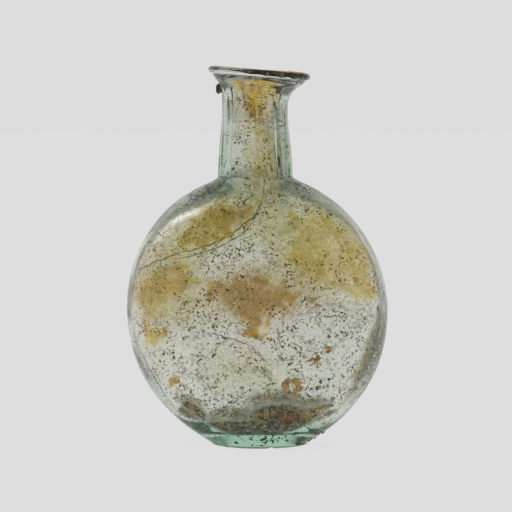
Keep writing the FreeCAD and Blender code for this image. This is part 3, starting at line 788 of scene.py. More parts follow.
def dabbed(points, dabs):
    """How strongly a list of dabs covers each point."""
    total = np.zeros(len(points))
    for middle_x, middle_z, half_width, half_height, turn, strength in dabs:
        across = points[:, 0] - middle_x
        up = points[:, 2] - middle_z
        turn = math.radians(turn)
        along = (across * math.cos(turn) + up * math.sin(turn)) / half_width
        beside = (up * math.cos(turn) - across * math.sin(turn)) / half_height
        total = np.maximum(total, strength * np.exp(-((along**2 + beside**2) ** DAB_POWER)))
    return total


above_foot = smooth_step(points[:, 2], *WEATHER_START)
in_neck = smooth_step(points[:, 2], *NECK_START)
above_floor = smooth_step(points[:, 2], *FLOOR_START)
weathered = BODY_WEATHER_SHARE * above_foot
weathered += (1 - BODY_WEATHER_SHARE) * smooth_step(points[:, 2], *SHOULDER_START)
mark(vessel, "weathered", weathered)
# how strongly the painted shade of the dark wall line is drawn: half in the body, full in the neck
mark(vessel, "lined", above_foot * (BODY_LINE_SHARE + (1 - BODY_LINE_SHARE) * in_neck))
towards_side = SIDE_CLEARING * np.clip(np.abs(points[:, 0]) / SIDE_CLEARING_WIDTH, 0, 1) ** 2
from_middle = np.hypot(points[:, 0], points[:, 2] - BUBBLE_HEIGHT) + towards_side
in_bubble = 1 - smooth_step(from_middle, *BUBBLE_EDGE) * (points[:, 2] < BUBBLE_HEIGHT)
at_back = smooth_step(points[:, 1], -SIDE_BLEND, SIDE_BLEND)
for film, (front_dabs, back_dabs) in FILMS.items():
    front_floor, back_floor = FILM_FLOORS.get(film, (0, 0))
    floors = (front_floor * (1 - at_back) + back_floor * at_back) * (1 - (1 - NECK_FILM_SHARE) * in_neck)
    amount = dabbed(points, front_dabs) * (1 - at_back) + dabbed(points, back_dabs) * at_back
    if film in FILM_FLOORS:
        amount = np.maximum(amount, floors) * above_floor
    amount = np.minimum(amount, 1)
    if film in FLOOR_FILMS:
        amount = amount * in_bubble
    amount = amount * is_inner
    mark(vessel, film, amount)
    print(film, "covers", round(float((amount > COVERED).mean()), 2), "of the points")

# %% [markdown]
# ## The glass itself
# Clear glass is mostly what it bends and what it holds back. Old glass is a little green from iron, and the
# green only shows where light has gone through a lot of it: in the foot, in the lip and along the edges. So
# the colour isn't painted on the surface. It is an absorption that grows with the way through the glass.
#
# Where a look just grazes the inner wall, the glass bends it far to the side, into the dark of the room.
# That draws a thin dark line along every wall of a real bottle. Here that line is painted shade: the slant of
# the look darkens the inner skin's colour there.
#
# Light that only gathers on the crusts inside passes straight through the skin. That stands in for the way
# a real bottle lets light in, which would take far too many rays to follow.

# %% Finish of the glass
CLEAR = (1.0, 0.97, 0.95)
WEATHERED = (1.0, 0.925, 0.885)
CLEAR_INSIDE = (1.0, 0.97, 0.978)
ABSORB_COLOUR = (0.06, 0.63, 0.34)
ABSORB_DENSITY = 40
# the painted shade of the dark line along the inner wall: where the slant starts and ends, its colour and how
# much it hides
LINE_START = (0.208, 0.224)
LINE_END = (0.254, 0.284)
LINE_SHADE = (0.04, 0.045, 0.035)
LINE_HIDES = 1.0
GLASS_BEND = 1.5
CLEAR_BOUNCES = 24
# film, size of its clouds in mm, where they start and are full, pale colour, dark colour, how much it hides
FILM_LOOKS = (
    ("milk", 2.6, 0.34, 0.62, (0.90, 0.90, 0.92), (0.84, 0.83, 0.84), 0.42),
    ("tan", 1.7, 0.42, 0.62, (0.62, 0.50, 0.24), (0.50, 0.36, 0.14), 0.35),
    ("yellow", 3.4, 0.28, 0.54, (0.66, 0.53, 0.13), (0.52, 0.37, 0.06), 0.38),
    ("silt", 1.5, 0.36, 0.47, (0.30, 0.20, 0.04), (0.02, 0.010, 0.003), 1.0),
    ("brown", 2.0, 0.37, 0.57, (0.50, 0.28, 0.02), (0.20, 0.08, 0.006), 0.80),
    # the dark film's colour serves both the grime and the painted shade at the shoulders
    ("grime_and_shade", 1.4, 0.38, 0.54, (0.09, 0.09, 0.05), (0.04, 0.04, 0.03), 0.85),
    ("rust", 1.6, 0.34, 0.46, (0.26, 0.08, 0.012), (0.05, 0.016, 0.004), 1.0),
)
# size of the clouds in mm, where they start and are full, colour
PEPPER = (
    (0.90, 0.605, 0.655, (0.38, 0.20, 0.025)),
    (1.05, 0.65, 0.67, (0.09, 0.04, 0.005)),
    (0.85, 0.63, 0.65, (0.08, 0.035, 0.005)),
)
PEPPER_HIDES = 0.9
# sizes of clouds in mm, each with where they start and are full
FINE_SIZE = 0.6
DARK_SIZE = 1.6
DARK_RANGE = (0.44, 0.56)
GATHERED_SIZE = 5
GATHERED_RANGE = (0.42, 0.56)
LINE_SIZE = 9
LINE_RANGE = (0.25, 0.5)
DULL_ROUGHNESS = 0.5
CLEAR_ROUGHNESS = 0.02
PIT_SIZE = 0.9
PIT_DEPTH = 0.05
PIT_STRENGTH = 0.5


def stored(tree, name):
    """Reads what was marked on the points."""
    return add(tree, "Attribute", attribute_name=name).outputs["Fac"]


def bumps(tree, height, depth, strength):
    """Unevenness up to depth mm."""
    wires = {"Height": height, "Distance": depth * MM, "Strength": strength}
    return add(tree, "Bump", wires).outputs[0]


def glass_finish(tree, output):
    """Clear outside, filmed and pitted inside, green in its depth."""
    inner = stored(tree, "inner")
    colour = tint(tree, inner, tint(tree, stored(tree, "weathered"), CLEAR, WEATHERED), CLEAR_INSIDE)
    hidden = 0.0
    fine = clouds(tree, FINE_SIZE, shift=1.5, detail=2)
    darker = mask(tree, clouds(tree, DARK_SIZE, shift=4.4), *DARK_RANGE)
    for number, (film, size, start, full, shade, dark_shade, hides) in enumerate(FILM_LOOKS):
        patchy = mask(tree, average(tree, clouds(tree, size, shift=0.3 * number), fine), start, full)
        amount = times(tree, stored(tree, film), patchy)
        colour = tint(tree, amount, colour, tint(tree, darker, shade, dark_shade))
        hidden = reckon(tree, "MAXIMUM", hidden, times(tree, amount, hides))
    gathered = mask(tree, clouds(tree, GATHERED_SIZE, shift=2.5), *GATHERED_RANGE)
    gathered = times(tree, gathered, inner)
    for number, (size, start, full, shade) in enumerate(PEPPER):
        dots = mask(tree, clouds(tree, size, shift=2.0 + number, detail=1), start, full)
        dots = times(tree, dots, gathered)
        colour = tint(tree, dots, colour, shade)
        hidden = reckon(tree, "MAXIMUM", hidden, times(tree, dots, PEPPER_HIDES))
    # painted shade: a thin dark line where the look grazes the inner wall
    slant = add(tree, "LayerWeight", {"Blend": 0.5}).outputs["Facing"]
    line = reckon(tree, "SUBTRACT", mask(tree, slant, *LINE_START), mask(tree, slant, *LINE_END))
    from_glass = times(tree, add(tree, "NewGeometry").outputs["Backfacing"], inner)
    line = times(tree, line, times(tree, from_glass, stored(tree, "lined")))
    line = times(tree, line, mask(tree, clouds(tree, LINE_SIZE, shift=2.8), *LINE_RANGE))
    colour = tint(tree, line, colour, LINE_SHADE)
    hidden = reckon(tree, "MAXIMUM", hidden, times(tree, line, LINE_HIDES))
    pitted = times(tree, inner, PIT_STRENGTH)
    dulled = times(tree, hidden, DULL_ROUGHNESS)
    wires = {
        "Base Color": colour,
        "Transmission Weight": reckon(tree, "SUBTRACT", 1.0, hidden),
        "Roughness": reckon(tree, "ADD", dulled, CLEAR_ROUGHNESS),
        "IOR": GLASS_BEND,
        "Normal": bumps(tree, clouds(tree, PIT_SIZE, shift=3.0), PIT_DEPTH, pitted),
    }
    glass = add(tree, "BsdfPrincipled", wires)
    gathering = ray_kinds(tree, "Shadow", "Diffuse")
    open_air = add(tree, "BsdfTransparent", {"Color": (1, 1, 1, 1)})
    mixed = add(tree, "MixShader", {0: gathering, 1: glass.outputs[0], 2: open_air.outputs[0]})
    depth = add(tree, "VolumeAbsorption", {"Color": (*ABSORB_COLOUR, 1), "Density": ABSORB_DENSITY})
    tree.links.new(mixed.outputs[0], output.inputs["Surface"])
    tree.links.new(depth.outputs[0], output.inputs["Volume"])


glass_finish(glass_tree, glass_output)
bpy.context.scene.cycles.transparent_max_bounces = CLEAR_BOUNCES
print("colour left by deep glass:", ABSORB_COLOUR, "density", ABSORB_DENSITY)

# %% [markdown]
# ## Crusts
# Where clay dried onto the wall it left crusts thick enough to feel: two at the shoulders, one in the
# middle, one on the left side, one along the right edge, and silt in the foot. Flat painted shapes would
# look pasted on. Each crust is a sheet laid on the inner wall by casting rays at it, so it follows every
# unevenness. A modifier then thickens it, thin at the edge, and the finish breaks the edge into grains.

# %% Lay a sheet on the wall
PATCH_STEP = 0.36
WALL_GAP = 0.03
CAST_LIMIT = 90
EDGE_FADE = 5.5
SPREAD = 2.4
# how far the edge strays in mm, and the shortest and longest wave of that
WARP = 1.5
WARP_WAVES = (3, 9)
FINE_WARP = 0.5
FINE_WARP_WAVES = (1, 2.5)
RAY_MARGIN = 1
FAN_LEAN = 86
NOWHERE = -999
RING_WEAR = 0.85
THIN_EDGE_SHARE = 0.12
MEAN_LUMP_SHARE = 0.65
LUMP_SHARE = 0.25
LUMP_WAVES = (1.5, 6)
THINNEST_SHARE = 0.05

inner_faces = [face for face in faces if min(face) >= inner_start]
inner_wall = BVHTree.FromPolygons(points.tolist(), inner_faces)
outer_wall = BVHTree.FromPolygons(points.tolist(), faces)


def outline_distance(places, outline):
    """mm from each place to a closed outline, positive inside it."""
    start = np.asarray(outline, float)
    end = np.roll(start, -1, axis=0)
    run = end - start
    gap = places[:, None, :] - start[None]
    share = np.clip((gap * run).sum(2) / (run**2).sum(1), 0, 1)
    nearest = np.linalg.norm(gap - share[..., None] * run, axis=2).min(1)
    crosses = (start[:, 1] > places[:, None, 1]) != (end[:, 1] > places[:, None, 1])
    rise = np.where(run[:, 1] == 0, 1, run[:, 1])
    meets = start[:, 0] + (places[:, None, 1] - start[:, 1]) * run[:, 0] / rise
    is_in = (crosses & (places[:, None, 0] < meets)).sum(1) % 2 == 1
    return np.where(is_in, nearest, -nearest)


def cast(origins, directions, wall=None):
    """Where rays meet a wall, the inner one unless another is given, and which way the wall faces there."""
    wall = wall or inner_wall
    hits = np.full(origins.shape, np.nan)
    facing = np.full(origins.shape, np.nan)
    for number, (origin, direction) in enumerate(zip(origins, directions)):
        place, normal, _, _ = wall.ray_cast(origin, direction, CAST_LIMIT)
        if place is not None:
            hits[number] = place
            facing[number] = normal
    return hits, facing


def flat_rays(outlines, side):
    """A grid of level rays towards the front (-1) or the back (1) wall."""
    corners = np.vstack(outlines)
    low = corners.min(0) - RAY_MARGIN
    high = corners.max(0) + RAY_MARGIN
    across = np.arange(low[0], high[0], PATCH_STEP)
    up = np.arange(low[1], high[1], PATCH_STEP)
    x, z = np.meshgrid(across, up)
    origins = np.stack((x.ravel(), np.zeros(x.size), z.ravel()), 1)
    return len(up), len(across), origins, np.tile((0, side, 0), (x.size, 1))


def fan_rays(first, last):
    """Rays that fan round the bubble's edge between two turns from straight down, in degrees."""
    edge_middle = BUBBLE_RADIUS - EDGE_ROUND
    turns = np.radians(np.arange(first, last, math.degrees(PATCH_STEP / BUBBLE_RADIUS)))
    leans = np.radians(np.arange(-FAN_LEAN, FAN_LEAN, math.degrees(PATCH_STEP / EDGE_ROUND)))
    turn, lean = (grid.ravel() for grid in np.meshgrid(turns, leans, indexing="ij"))
    still = np.zeros(turn.size)
    origins = np.stack((edge_middle * np.sin(turn), still, BUBBLE_HEIGHT - edge_middle * np.cos(turn)), 1)
    directions = np.stack((np.sin(turn) * np.cos(lean), np.sin(lean), -np.cos(turn) * np.cos(lean)), 1)
    return len(turns), len(leans), origins, directions


def lay_crust(name, outlines, rays, thickness, material, seed, fade=EDGE_FADE, ring=0.0, rises=(-2, -1)):
    """A crust on the inner wall, where the outlines say as seen from the front.

    fade is how far its edge thins out in mm, ring how wide a ring is left where its middle has worn through,
    and rises the heights between which it sets in.
    """
    small = fade / EDGE_FADE
    rows, columns, origins, directions = rays
    hits, facing = cast(origins, directions)
    places = np.nan_to_num(hits, nan=NOWHERE)
    inward = np.max([outline_distance(places[:, (0, 2)], outline) for outline in outlines], axis=0)
    coarse = small * (SPREAD + WARP * waves(places, seed, *WARP_WAVES))
    inward += coarse + FINE_WARP * waves(places, seed + 1, *FINE_WARP_WAVES)
    wanted = (inward > 0) & ~np.isnan(hits[:, 0])
    cells = []
    for row in range(rows - 1):
        for column in range(columns - 1):
            corner = row * columns + column
            cell = (corner, corner + 1, corner + columns + 1, corner + columns)
            if wanted[list(cell)].all():
                cells.append(cell)
    used = sorted({corner for cell in cells for corner in cell})
    new_number = {corner: number for number, corner in enumerate(used)}
    first = cells[0]
    wound = np.cross(hits[first[1]] - hits[first[0]], hits[first[3]] - hits[first[0]])
    order = 1 if wound @ facing[first[0]] > 0 else -1
    faces = [tuple(new_number[corner] for corner in cell)[::order] for cell in cells]
    piece = new_piece(name, (hits + facing * WALL_GAP)[used], faces, material)
    depth = smooth_step(inward[used], 0, fade) * smooth_step(places[used, 2], *rises)
    if ring:
        depth = depth * (1 - RING_WEAR * smooth_step(inward[used], ring, ring * 2))
    mark(piece, "edge", depth)
    lumps = MEAN_LUMP_SHARE + LUMP_SHARE * waves(places[used], seed + 2, *LUMP_WAVES)
    weights = np.clip((THIN_EDGE_SHARE + (1 - THIN_EDGE_SHARE) * depth) * lumps, THINNEST_SHARE, 1)
    group = piece.vertex_groups.new(name="thickness")
    for number, weight in enumerate(weights):
        group.add([number], float(weight), "REPLACE")
    body = piece.modifiers.new("body", "SOLIDIFY")
    body.thickness = thickness * MM
    body.offset = 1
    body.vertex_group = group.name
    print(name, len(faces), "faces")
    return piece


print("inner wall:", len(inner_faces), "faces to lay crusts on")

# %% [markdown]
# A crust is matt and grainy. One finish serves them all, with a list of shades from dark to pale: soft
# clouds choose the shade, finer ones break the surface open, and the stored distance from the edge decides
# how much of the wall shows between the grains. The light that passes there takes the crust's colour.

# %% Finish of the crusts
CRUST_SHADES = {
    "ochre_crust": ((0.16, 0.060, 0.001), (0.42, 0.190, 0.004), (0.58, 0.32, 0.012), (0.70, 0.50, 0.07)),
    "yellow_crust": ((0.36, 0.20, 0.004), (0.56, 0.37, 0.02), (0.66, 0.47, 0.04), (0.75, 0.60, 0.14)),
    "brown_silt": ((0.010, 0.005, 0.001), (0.05, 0.024, 0.003), (0.16, 0.09, 0.006), (0.36, 0.25, 0.03)),
    "olive_crust": ((0.06, 0.04, 0.006), (0.19, 0.12, 0.012), (0.32, 0.21, 0.03), (0.46, 0.34, 0.07)),
    "amber_crust": ((0.07, 0.022, 0.002), (0.30, 0.12, 0.006), (0.50, 0.25, 0.02), (0.64, 0.40, 0.08)),
}
# how full the middle is, how much light its grains stop, colour of the light that comes through each face
CRUST_BODY = {
    "ochre_crust": (0.54, 0.54, (0.94, 0.80, 0.34)),
    "yellow_crust": (0.42, 0.30, (0.99, 0.885, 0.52)),
    "brown_silt": (0.54, 0.90, (0.50, 0.40, 0.16)),
    "olive_crust": (0.50, 0.65, (0.66, 0.58, 0.30)),
    "amber_crust": (0.60, 0.90, (0.77, 0.52, 0.18)),
}
COARSE_SHARE = 0.38
FINE_SHARE = 0.17
SPECK_SHADE = (0.06, 0.025, 0.003)
PALE_SPECK_SHADE = (0.72, 0.58, 0.26)
# sizes of clouds in mm, and where masks start and are full
GRAIN_SIZE = 0.95
PATCH_SIZE = 4.5
SHADE_SIZE = 0.9
PALE_SIZE = 0.6
SPECK_SIZE = 0.85
GRAIN_RANGE = (0.36, 0.62)
COVER_RANGE = (0.50, 0.92)
STAIN_RANGE = (0.34, 0.86)
PALE_RANGE = (0.60, 0.68)
SPECK_RANGE = (0.545, 0.60)
PALE_STRENGTH = 0.5
SPECK_STRENGTH = 0.8


def crust_finish(slot):
    """A grainy matt crust that thins out into grains at its edge."""
    material, tree, output = new_material(slot)
    fullness, stops, through = CRUST_BODY[slot]
    fine = clouds(tree, GRAIN_SIZE, shift=1.0)
    coarse = clouds(tree, PATCH_SIZE, shift=1.3)
    open_places = times(tree, mask(tree, coarse, *GRAIN_RANGE), COARSE_SHARE)
    pores = times(tree, mask(tree, fine, *GRAIN_RANGE), FINE_SHARE)
    grains_share = reckon(tree, "ADD", open_places, pores)
    filled = reckon(tree, "MULTIPLY_ADD", stored(tree, "edge"), fullness, grains_share)
    cover = times(tree, mask(tree, filled, *COVER_RANGE), stops)
    stain = tint(tree, mask(tree, filled, *STAIN_RANGE), (1, 1, 1), through)
    shade_cloud = average(tree, clouds(tree, SHADE_SIZE, shift=1.7), coarse)
    shade = ramp(tree, shade_cloud, CRUST_SHADES[slot])
    pale = mask(tree, clouds(tree, PALE_SIZE, shift=1.9, detail=1), *PALE_RANGE)
    specks = mask(tree, clouds(tree, SPECK_SIZE, shift=2.1, detail=1), *SPECK_RANGE)
    shade = tint(tree, times(tree, pale, PALE_STRENGTH), shade, PALE_SPECK_SHADE)
    wires = {
        "Base Color": tint(tree, times(tree, specks, SPECK_STRENGTH), shade, SPECK_SHADE),
        "Roughness": reckon(tree, "MULTIPLY_ADD", fine, 0.3, 0.62),
        "Specular IOR Level": 0.2,
        "Normal": bumps(tree, fine, 0.2, 0.6),
    }
    crust = add(tree, "BsdfPrincipled", wires)
    stained_light = add(tree, "BsdfTransparent", {"Color": stain})
    mixed = add(tree, "MixShader", {0: cover, 1: stained_light.outputs[0], 2: crust.outputs[0]})
    tree.links.new(mixed.outputs[0], output.inputs["Surface"])
    return material


crusts = {slot: crust_finish(slot) for slot in CRUST_SHADES}
print("crust finishes:", ", ".join(crusts))

# %% [markdown]
# The outlines were drawn over what the front view shows. They are shares of the bubble's radius,
# counted from its middle, so they read the same at any size.

# %% Lay the crusts
LEFT_SHOULDER_SHARES = (
    (-0.14, 0.84), (0.02, 0.86), (0.02, 0.78), (-0.11, 0.66), (-0.28, 0.55),
    (-0.47, 0.47), (-0.68, 0.42), (-0.63, 0.55), (-0.50, 0.69), (-0.33, 0.79),
)
RIGHT_SHOULDER_SHARES = (
    (0.30, 0.78), (0.50, 0.74), (0.69, 0.60), (0.82, 0.44), (0.90, 0.22), (0.88, 0.07), (0.76, 0.09),
    (0.62, 0.13), (0.48, 0.22), (0.33, 0.30), (0.22, 0.43), (0.28, 0.57), (0.22, 0.69),
)
MIDDLE_SHARES = (
    (-0.39, 0.12), (-0.28, 0.20), (-0.12, 0.235), (0.04, 0.20), (0.18, 0.17), (0.34, 0.08),
    (0.29, -0.02), (0.15, -0.08), (0.04, -0.18), (-0.03, -0.30), (-0.09, -0.19), (-0.20, -0.06),
    (-0.34, 0.02),
)
LEFT_FLANK_SHARES = (
    (-0.90, 0.24), (-0.83, 0.20), (-0.71, 0.31), (-0.55, 0.36), (-0.49, 0.21), (-0.57, 0.10),
    (-0.72, 0.05), (-0.77, -0.08), (-0.76, -0.21), (-0.82, -0.30), (-0.88, -0.23), (-0.91, -0.08),
    (-0.92, 0.08),
)
RIGHT_EDGE_SHARES = (
    (1.06, -0.02), (0.95, -0.03), (0.93, -0.18), (0.87, -0.38), (0.79, -0.55), (0.82, -0.66),
    (0.97, -0.48), (1.06, -0.22),
)
AMBER_LUMP_SHARES = (
    (0.20, -0.55), (0.25, -0.52), (0.325, -0.52), (0.34, -0.58), (0.32, -0.645), (0.26, -0.68),
    (0.21, -0.69), (0.19, -0.63),
)
SILT_SHARES = (
    (-0.57, -0.77), (-0.42, -0.89), (-0.22, -0.96), (-0.02, -0.92), (0.16, -0.85), (0.34, -0.85),
    (0.52, -0.88), (0.66, -0.82), (0.72, -0.88), (0.50, -1.05), (0.0, -1.12), (-0.45, -1.05),
    (-0.64, -0.88),
)
# share across, share up, half length, half height, turn in degrees
RIGHT_FLECK_SHARES = (
    (0.455, -0.37, 0.055, 0.028, 10), (0.56, -0.305, 0.038, 0.017, 30), (0.44, 0.09, 0.03, 0.032, 0),
)
LEFT_FLECK_SHARES = ((-0.655, -0.565, 0.052, 0.036, 35), (-0.53, -0.74, 0.05, 0.032, -35))
FRONT = -1
BACK = 1
CLOUD_FADE = 1.5 * EDGE_FADE
OUTLINE_STEPS = 5
FLECK_POINTS = 16
# name, outline, wall, thickness in mm, slot, seed, how far the edge thins out in mm
FACE_CRUSTS = (
    ("left_shoulder_crust", LEFT_SHOULDER_SHARES, FRONT, 0.40, "ochre_crust", 101, EDGE_FADE),
    ("right_shoulder_crust", RIGHT_SHOULDER_SHARES, FRONT, 0.32, "yellow_crust", 111, EDGE_FADE),
    ("middle_crust", MIDDLE_SHARES, BACK, 0.42, "ochre_crust", 121, CLOUD_FADE),
    ("left_flank_crust", LEFT_FLANK_SHARES, BACK, 0.32, "yellow_crust", 131, EDGE_FADE),
)
# name, outline, first and last turn in degrees from straight down, thickness in mm, slot, seed
EDGE_CRUSTS = (
    ("right_edge_crust", RIGHT_EDGE_SHARES, 46, 92, 0.40, "olive_crust", 141),
    ("base_silt", SILT_SHARES, -44, 50, 1.10, "brown_silt", 151),
)


def drawn(shares):
    """A smooth outline in mm, across and up, from a table of shares."""
    return curve_through(np.asarray(shares) * BUBBLE_RADIUS + (0, BUBBLE_HEIGHT), OUTLINE_STEPS, closed=True)


def fleck_outlines(shares):
    """One oval outline in mm for each fleck."""
    outlines = []
    ways = np.linspace(0, 2 * math.pi, FLECK_POINTS, endpoint=False)
    for across, up, half_length, half_height, turn in shares:
        turn = math.radians(turn)
        along = half_length * np.cos(ways)
        beside = half_height * np.sin(ways)
        x = across + along * math.cos(turn) - beside * math.sin(turn)
        z = up + along * math.sin(turn) + beside * math.cos(turn)
        outlines.append(np.stack((x, z), 1) * BUBBLE_RADIUS + (0, BUBBLE_HEIGHT))
    return outlines


def settle(name, outlines, rays, thickness, slot, seed, **edge):
    """Lays a crust in place of the solid of the same name."""
    piece = lay_crust(name, outlines, rays, thickness, crusts[slot], seed, **edge)
    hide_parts(name)


for name, shares, side, thickness, slot, seed, fade in FACE_CRUSTS:
    outlines = [drawn(shares)]
    settle(name, outlines, flat_rays(outlines, side), thickness, slot, seed, fade=fade)
for name, shares, first, last, thickness, slot, seed in EDGE_CRUSTS:
    settle(name, [drawn(shares)], fan_rays(first, last), thickness, slot, seed)

# %% [markdown]
# ## Flecks, the amber lump and the neck's streak
# Smaller bits of crust are laid the same way. The amber lump is a ring: its middle has worn through. The
# streak in the neck ran down the back of the bore from the funnel and dried there, thickest at the top.

# %% Lay the small crusts
# across and up in mm
STREAK_POINTS = (
    (-8.4, 115.2), (-2, 115.6), (8.2, 114.6), (6.6, 108), (4.9, 103), (2.6, 99.5), (1.4, 94), (1.4, 88),
    (1.8, 84.6), (1.2, 83.4), (0.9, 86), (0.6, 92), (-0.6, 98), (-3.2, 104), (-6.2, 110),
)
RING_WIDTH = 1.5
SMALL_FADE = 1.0
STREAK_FADE = 3.6
STREAK_RISES = (92, 106)
# name, outlines, wall, thickness in mm, slot, seed, what is special about its edge
SMALL_CRUSTS = (
    ("amber_lump", [drawn(AMBER_LUMP_SHARES)], FRONT, 0.8, "amber_crust", 161,
     {"fade": SMALL_FADE, "ring": RING_WIDTH}),
    ("right_flecks", fleck_outlines(RIGHT_FLECK_SHARES), FRONT, 0.5, "amber_crust", 171,
     {"fade": SMALL_FADE}),
    ("left_flecks", fleck_outlines(LEFT_FLECK_SHARES), FRONT, 0.5, "ochre_crust", 181,
     {"fade": SMALL_FADE}),
    ("neck_streak", [curve_through(STREAK_POINTS, OUTLINE_STEPS, closed=True)], BACK, 0.2,
     "yellow_crust", 191, {"fade": STREAK_FADE, "rises": STREAK_RISES}),
)

for name, outlines, side, thickness, slot, seed, edge in SMALL_CRUSTS:
    settle(name, outlines, flat_rays(outlines, side), thickness, slot, seed, **edge)

# %% [markdown]
# ## Grains and grit
# Dark mineral grains stick to the wall, from eight that can be counted down to fine grit like pepper. All
# of them start as the same twelve-cornered lump. Each is squeezed and turned by chance with a fixed seed,
# so no two are alike and every run gives the same bottle. More of the grit clings to the outside of the foot.

# %% Lump helpers
GRAIN_SHARES = (
    (0.500, -0.565, 1.0), (0.467, -0.612, 0.9), (0.557, -0.540, 0.65), (0.590, -0.700, 1.1),
    (0.527, -0.705, 0.7), (0.425, -0.615, 0.6), (0.510, -0.600, 0.5), (0.545, -0.590, 0.45),
)
GRAIN_RADIUS = 0.92
GRAIN_SQUASH_SHARE = 0.8
# middle across, middle up, spread across, spread up in mm, how many, wall
GRIT_DABS = (
    (5, 104, 4, 5, 90, BACK), (6, 90, 4, 7, 90, FRONT), (3, 85, 7, 3, 110, FRONT), (5, 102, 3, 4, 90, FRONT),
    (-3, 84, 7, 2, 20, BACK), (2, 36, 12, 8, 60, BACK), (0, 45, 16, 8, 60, BACK), (10, 24, 14, 9, 46, FRONT),
    (18, 20, 9, 7, 40, FRONT), (6, 13, 18, 4, 60, FRONT), (-12, 17, 9, 4, 24, FRONT),
    (20, 62, 14, 12, 40, FRONT), (-16, 68, 13, 7, 36, FRONT), (-28, 45, 7, 13, 24, BACK),
    (0, 45, 30, 30, 160, FRONT), (0, 45, 30, 30, 120, BACK),
)
GATHERING = 1.6
GRIT_SMALLEST = 0.07
GRIT_LARGEST = 0.32
GRIT_POWER = 0.5
BORE_MARGIN = 0.4
BUBBLE_MARGIN = 0.8
# how far each corner of a lump is moved, and how the whole is squeezed
CORNER_SHARES = (0.7, 1.25)
SQUEEZE_SHARES = (0.7, 1.3)
LUMP_TURN = 6.28
SHIFT_STEP = 0.2


def lump_shape(splits=1):
    """The corners and faces of a plain lump, twelve-cornered unless it is split further."""
    shape = bmesh.new()
    bmesh.ops.create_icosphere(shape, subdivisions=splits, radius=1)
    corners = np.array([corner.co for corner in shape.verts])
    sides = [[corner.index for corner in side.verts] for side in shape.faces]
    shape.free()
    return corners, sides


def heap(name, places, facing, radii, material, seed, squash=0.6):
    """One mesh of many small lumps, each flattened a little and set on the wall."""
    draws = np.random.default_rng(seed)
    corners, sides = lump_shape()
    all_points = []
    all_faces = []
    for number, (place, out, radius) in enumerate(zip(places, facing, radii)):
        uneven = corners * draws.uniform(*CORNER_SHARES, (len(corners), 1))
        uneven = uneven * draws.uniform(*SQUEEZE_SHARES, 3)
        turn = Matrix.Rotation(draws.uniform(0, LUMP_TURN), 3, Vector(draws.normal(size=3)))
        lump = uneven @ np.array(turn) * radius
        lump -= np.outer(lump @ out, out) * (1 - squash)
        lowest = (lump @ out).min()
        all_points.append(lump + place + out * (WALL_GAP - lowest))
        all_faces += [[corner + number * len(corners) for corner in side] for side in sides]
    return new_piece(name, np.vstack(all_points), all_faces, material, soft=False)


def matt_finish(name, shades, size, shift, roughness, bump, gaps=None, detail=3.0):
    """Clouds choose among the shades, and finer ones make bumps. Where gaps are given, others leave holes.

    bump is the size of the bumps in mm, their depth in mm and their strength. gaps is the size of the holes
    in mm, where their clouds start and are full, and how much the rest covers.
    """
    material, tree, output = new_material(name)
    bump_size, bump_depth, bump_strength = bump
    uneven = clouds(tree, bump_size, shift=shift + SHIFT_STEP)
    wires = {
        "Base Color": ramp(tree, clouds(tree, size, shift=shift, detail=detail), shades),
        "Roughness": roughness,
        "Normal": bumps(tree, uneven, bump_depth, bump_strength),
    }
    if gaps:
        gap_size, start, full, covers = gaps
        broken = mask(tree, clouds(tree, gap_size, shift=shift - SHIFT_STEP), start, full)
        wires["Alpha"] = times(tree, broken, covers)
    finish = add(tree, "BsdfPrincipled", wires)
    tree.links.new(finish.outputs[0], output.inputs["Surface"])
    return material


# dark broken mineral with a little shine
MINERAL_SHADES = ((0.006, 0.005, 0.004), (0.02, 0.014, 0.008), (0.07, 0.04, 0.015), (0.16, 0.09, 0.03))
mineral = matt_finish("dark_mineral", MINERAL_SHADES, 2.5, 4.0, 0.7, (0.3, 0.1, 0.7), detail=4)
print("a lump has", len(lump_shape()[0]), "corners")

# %% Set the grains and the grit


def scatter(dabs, start):
    """Where grit is cast from, gathered round the middle of each dab, and which way."""
    origins = []
    ways = []
    for across, up, spread_across, spread_up, count, side in dabs:
        x = chance.normal(across, spread_across / GATHERING, count)
        z = chance.normal(up, spread_up / GATHERING, count)
        origins.append(np.stack((x, np.full(count, start), z), 1))
        ways.append(np.tile((0, side, 0), (count, 1)))
    return np.vstack(origins), np.vstack(ways)


def set_grit(name, origins, ways, wall, largest, power, seed):
    """Grit of all sizes up to the largest radius. A higher power makes more of it large."""
    hits, facing = cast(origins, ways, wall)
    found = ~np.isnan(hits[:, 0])
    radii = GRIT_SMALLEST + (largest - GRIT_SMALLEST) * chance.power(power, found.sum())
    grit = heap(name, hits[found], facing[found], radii, mineral, seed)
    print(name, "has", int(found.sum()), "lumps")


grain_table = np.array(GRAIN_SHARES)
grain_origins = np.zeros((len(grain_table), 3))
grain_origins[:, 0] = grain_table[:, 0] * BUBBLE_RADIUS
grain_origins[:, 2] = grain_table[:, 1] * BUBBLE_RADIUS + BUBBLE_HEIGHT
grain_hits, grain_facing = cast(grain_origins, np.tile((0, FRONT, 0), (len(grain_table), 1)))
grain_radii = grain_table[:, 2] * GRAIN_RADIUS
grains = heap("dark_grains", grain_hits, grain_facing, grain_radii, mineral, 201, squash=GRAIN_SQUASH_SHARE)
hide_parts("dark_grains")

print("grains:", len(grain_table))

chance = np.random.default_rng(211)
grit_origins, grit_ways = scatter(GRIT_DABS, 0)
reach = np.hypot(grit_origins[:, 0], grit_origins[:, 2] - BUBBLE_HEIGHT)
in_bore = (np.abs(grit_origins[:, 0] - NECK_X) < BORE - BORE_MARGIN) & (grit_origins[:, 2] > BUBBLE_HEIGHT)
is_open = (reach < BUBBLE_RADIUS - BUBBLE_MARGIN) | in_bore
set_grit("fine_grit", grit_origins[is_open], grit_ways[is_open], inner_wall, GRIT_LARGEST, GRIT_POWER, 221)

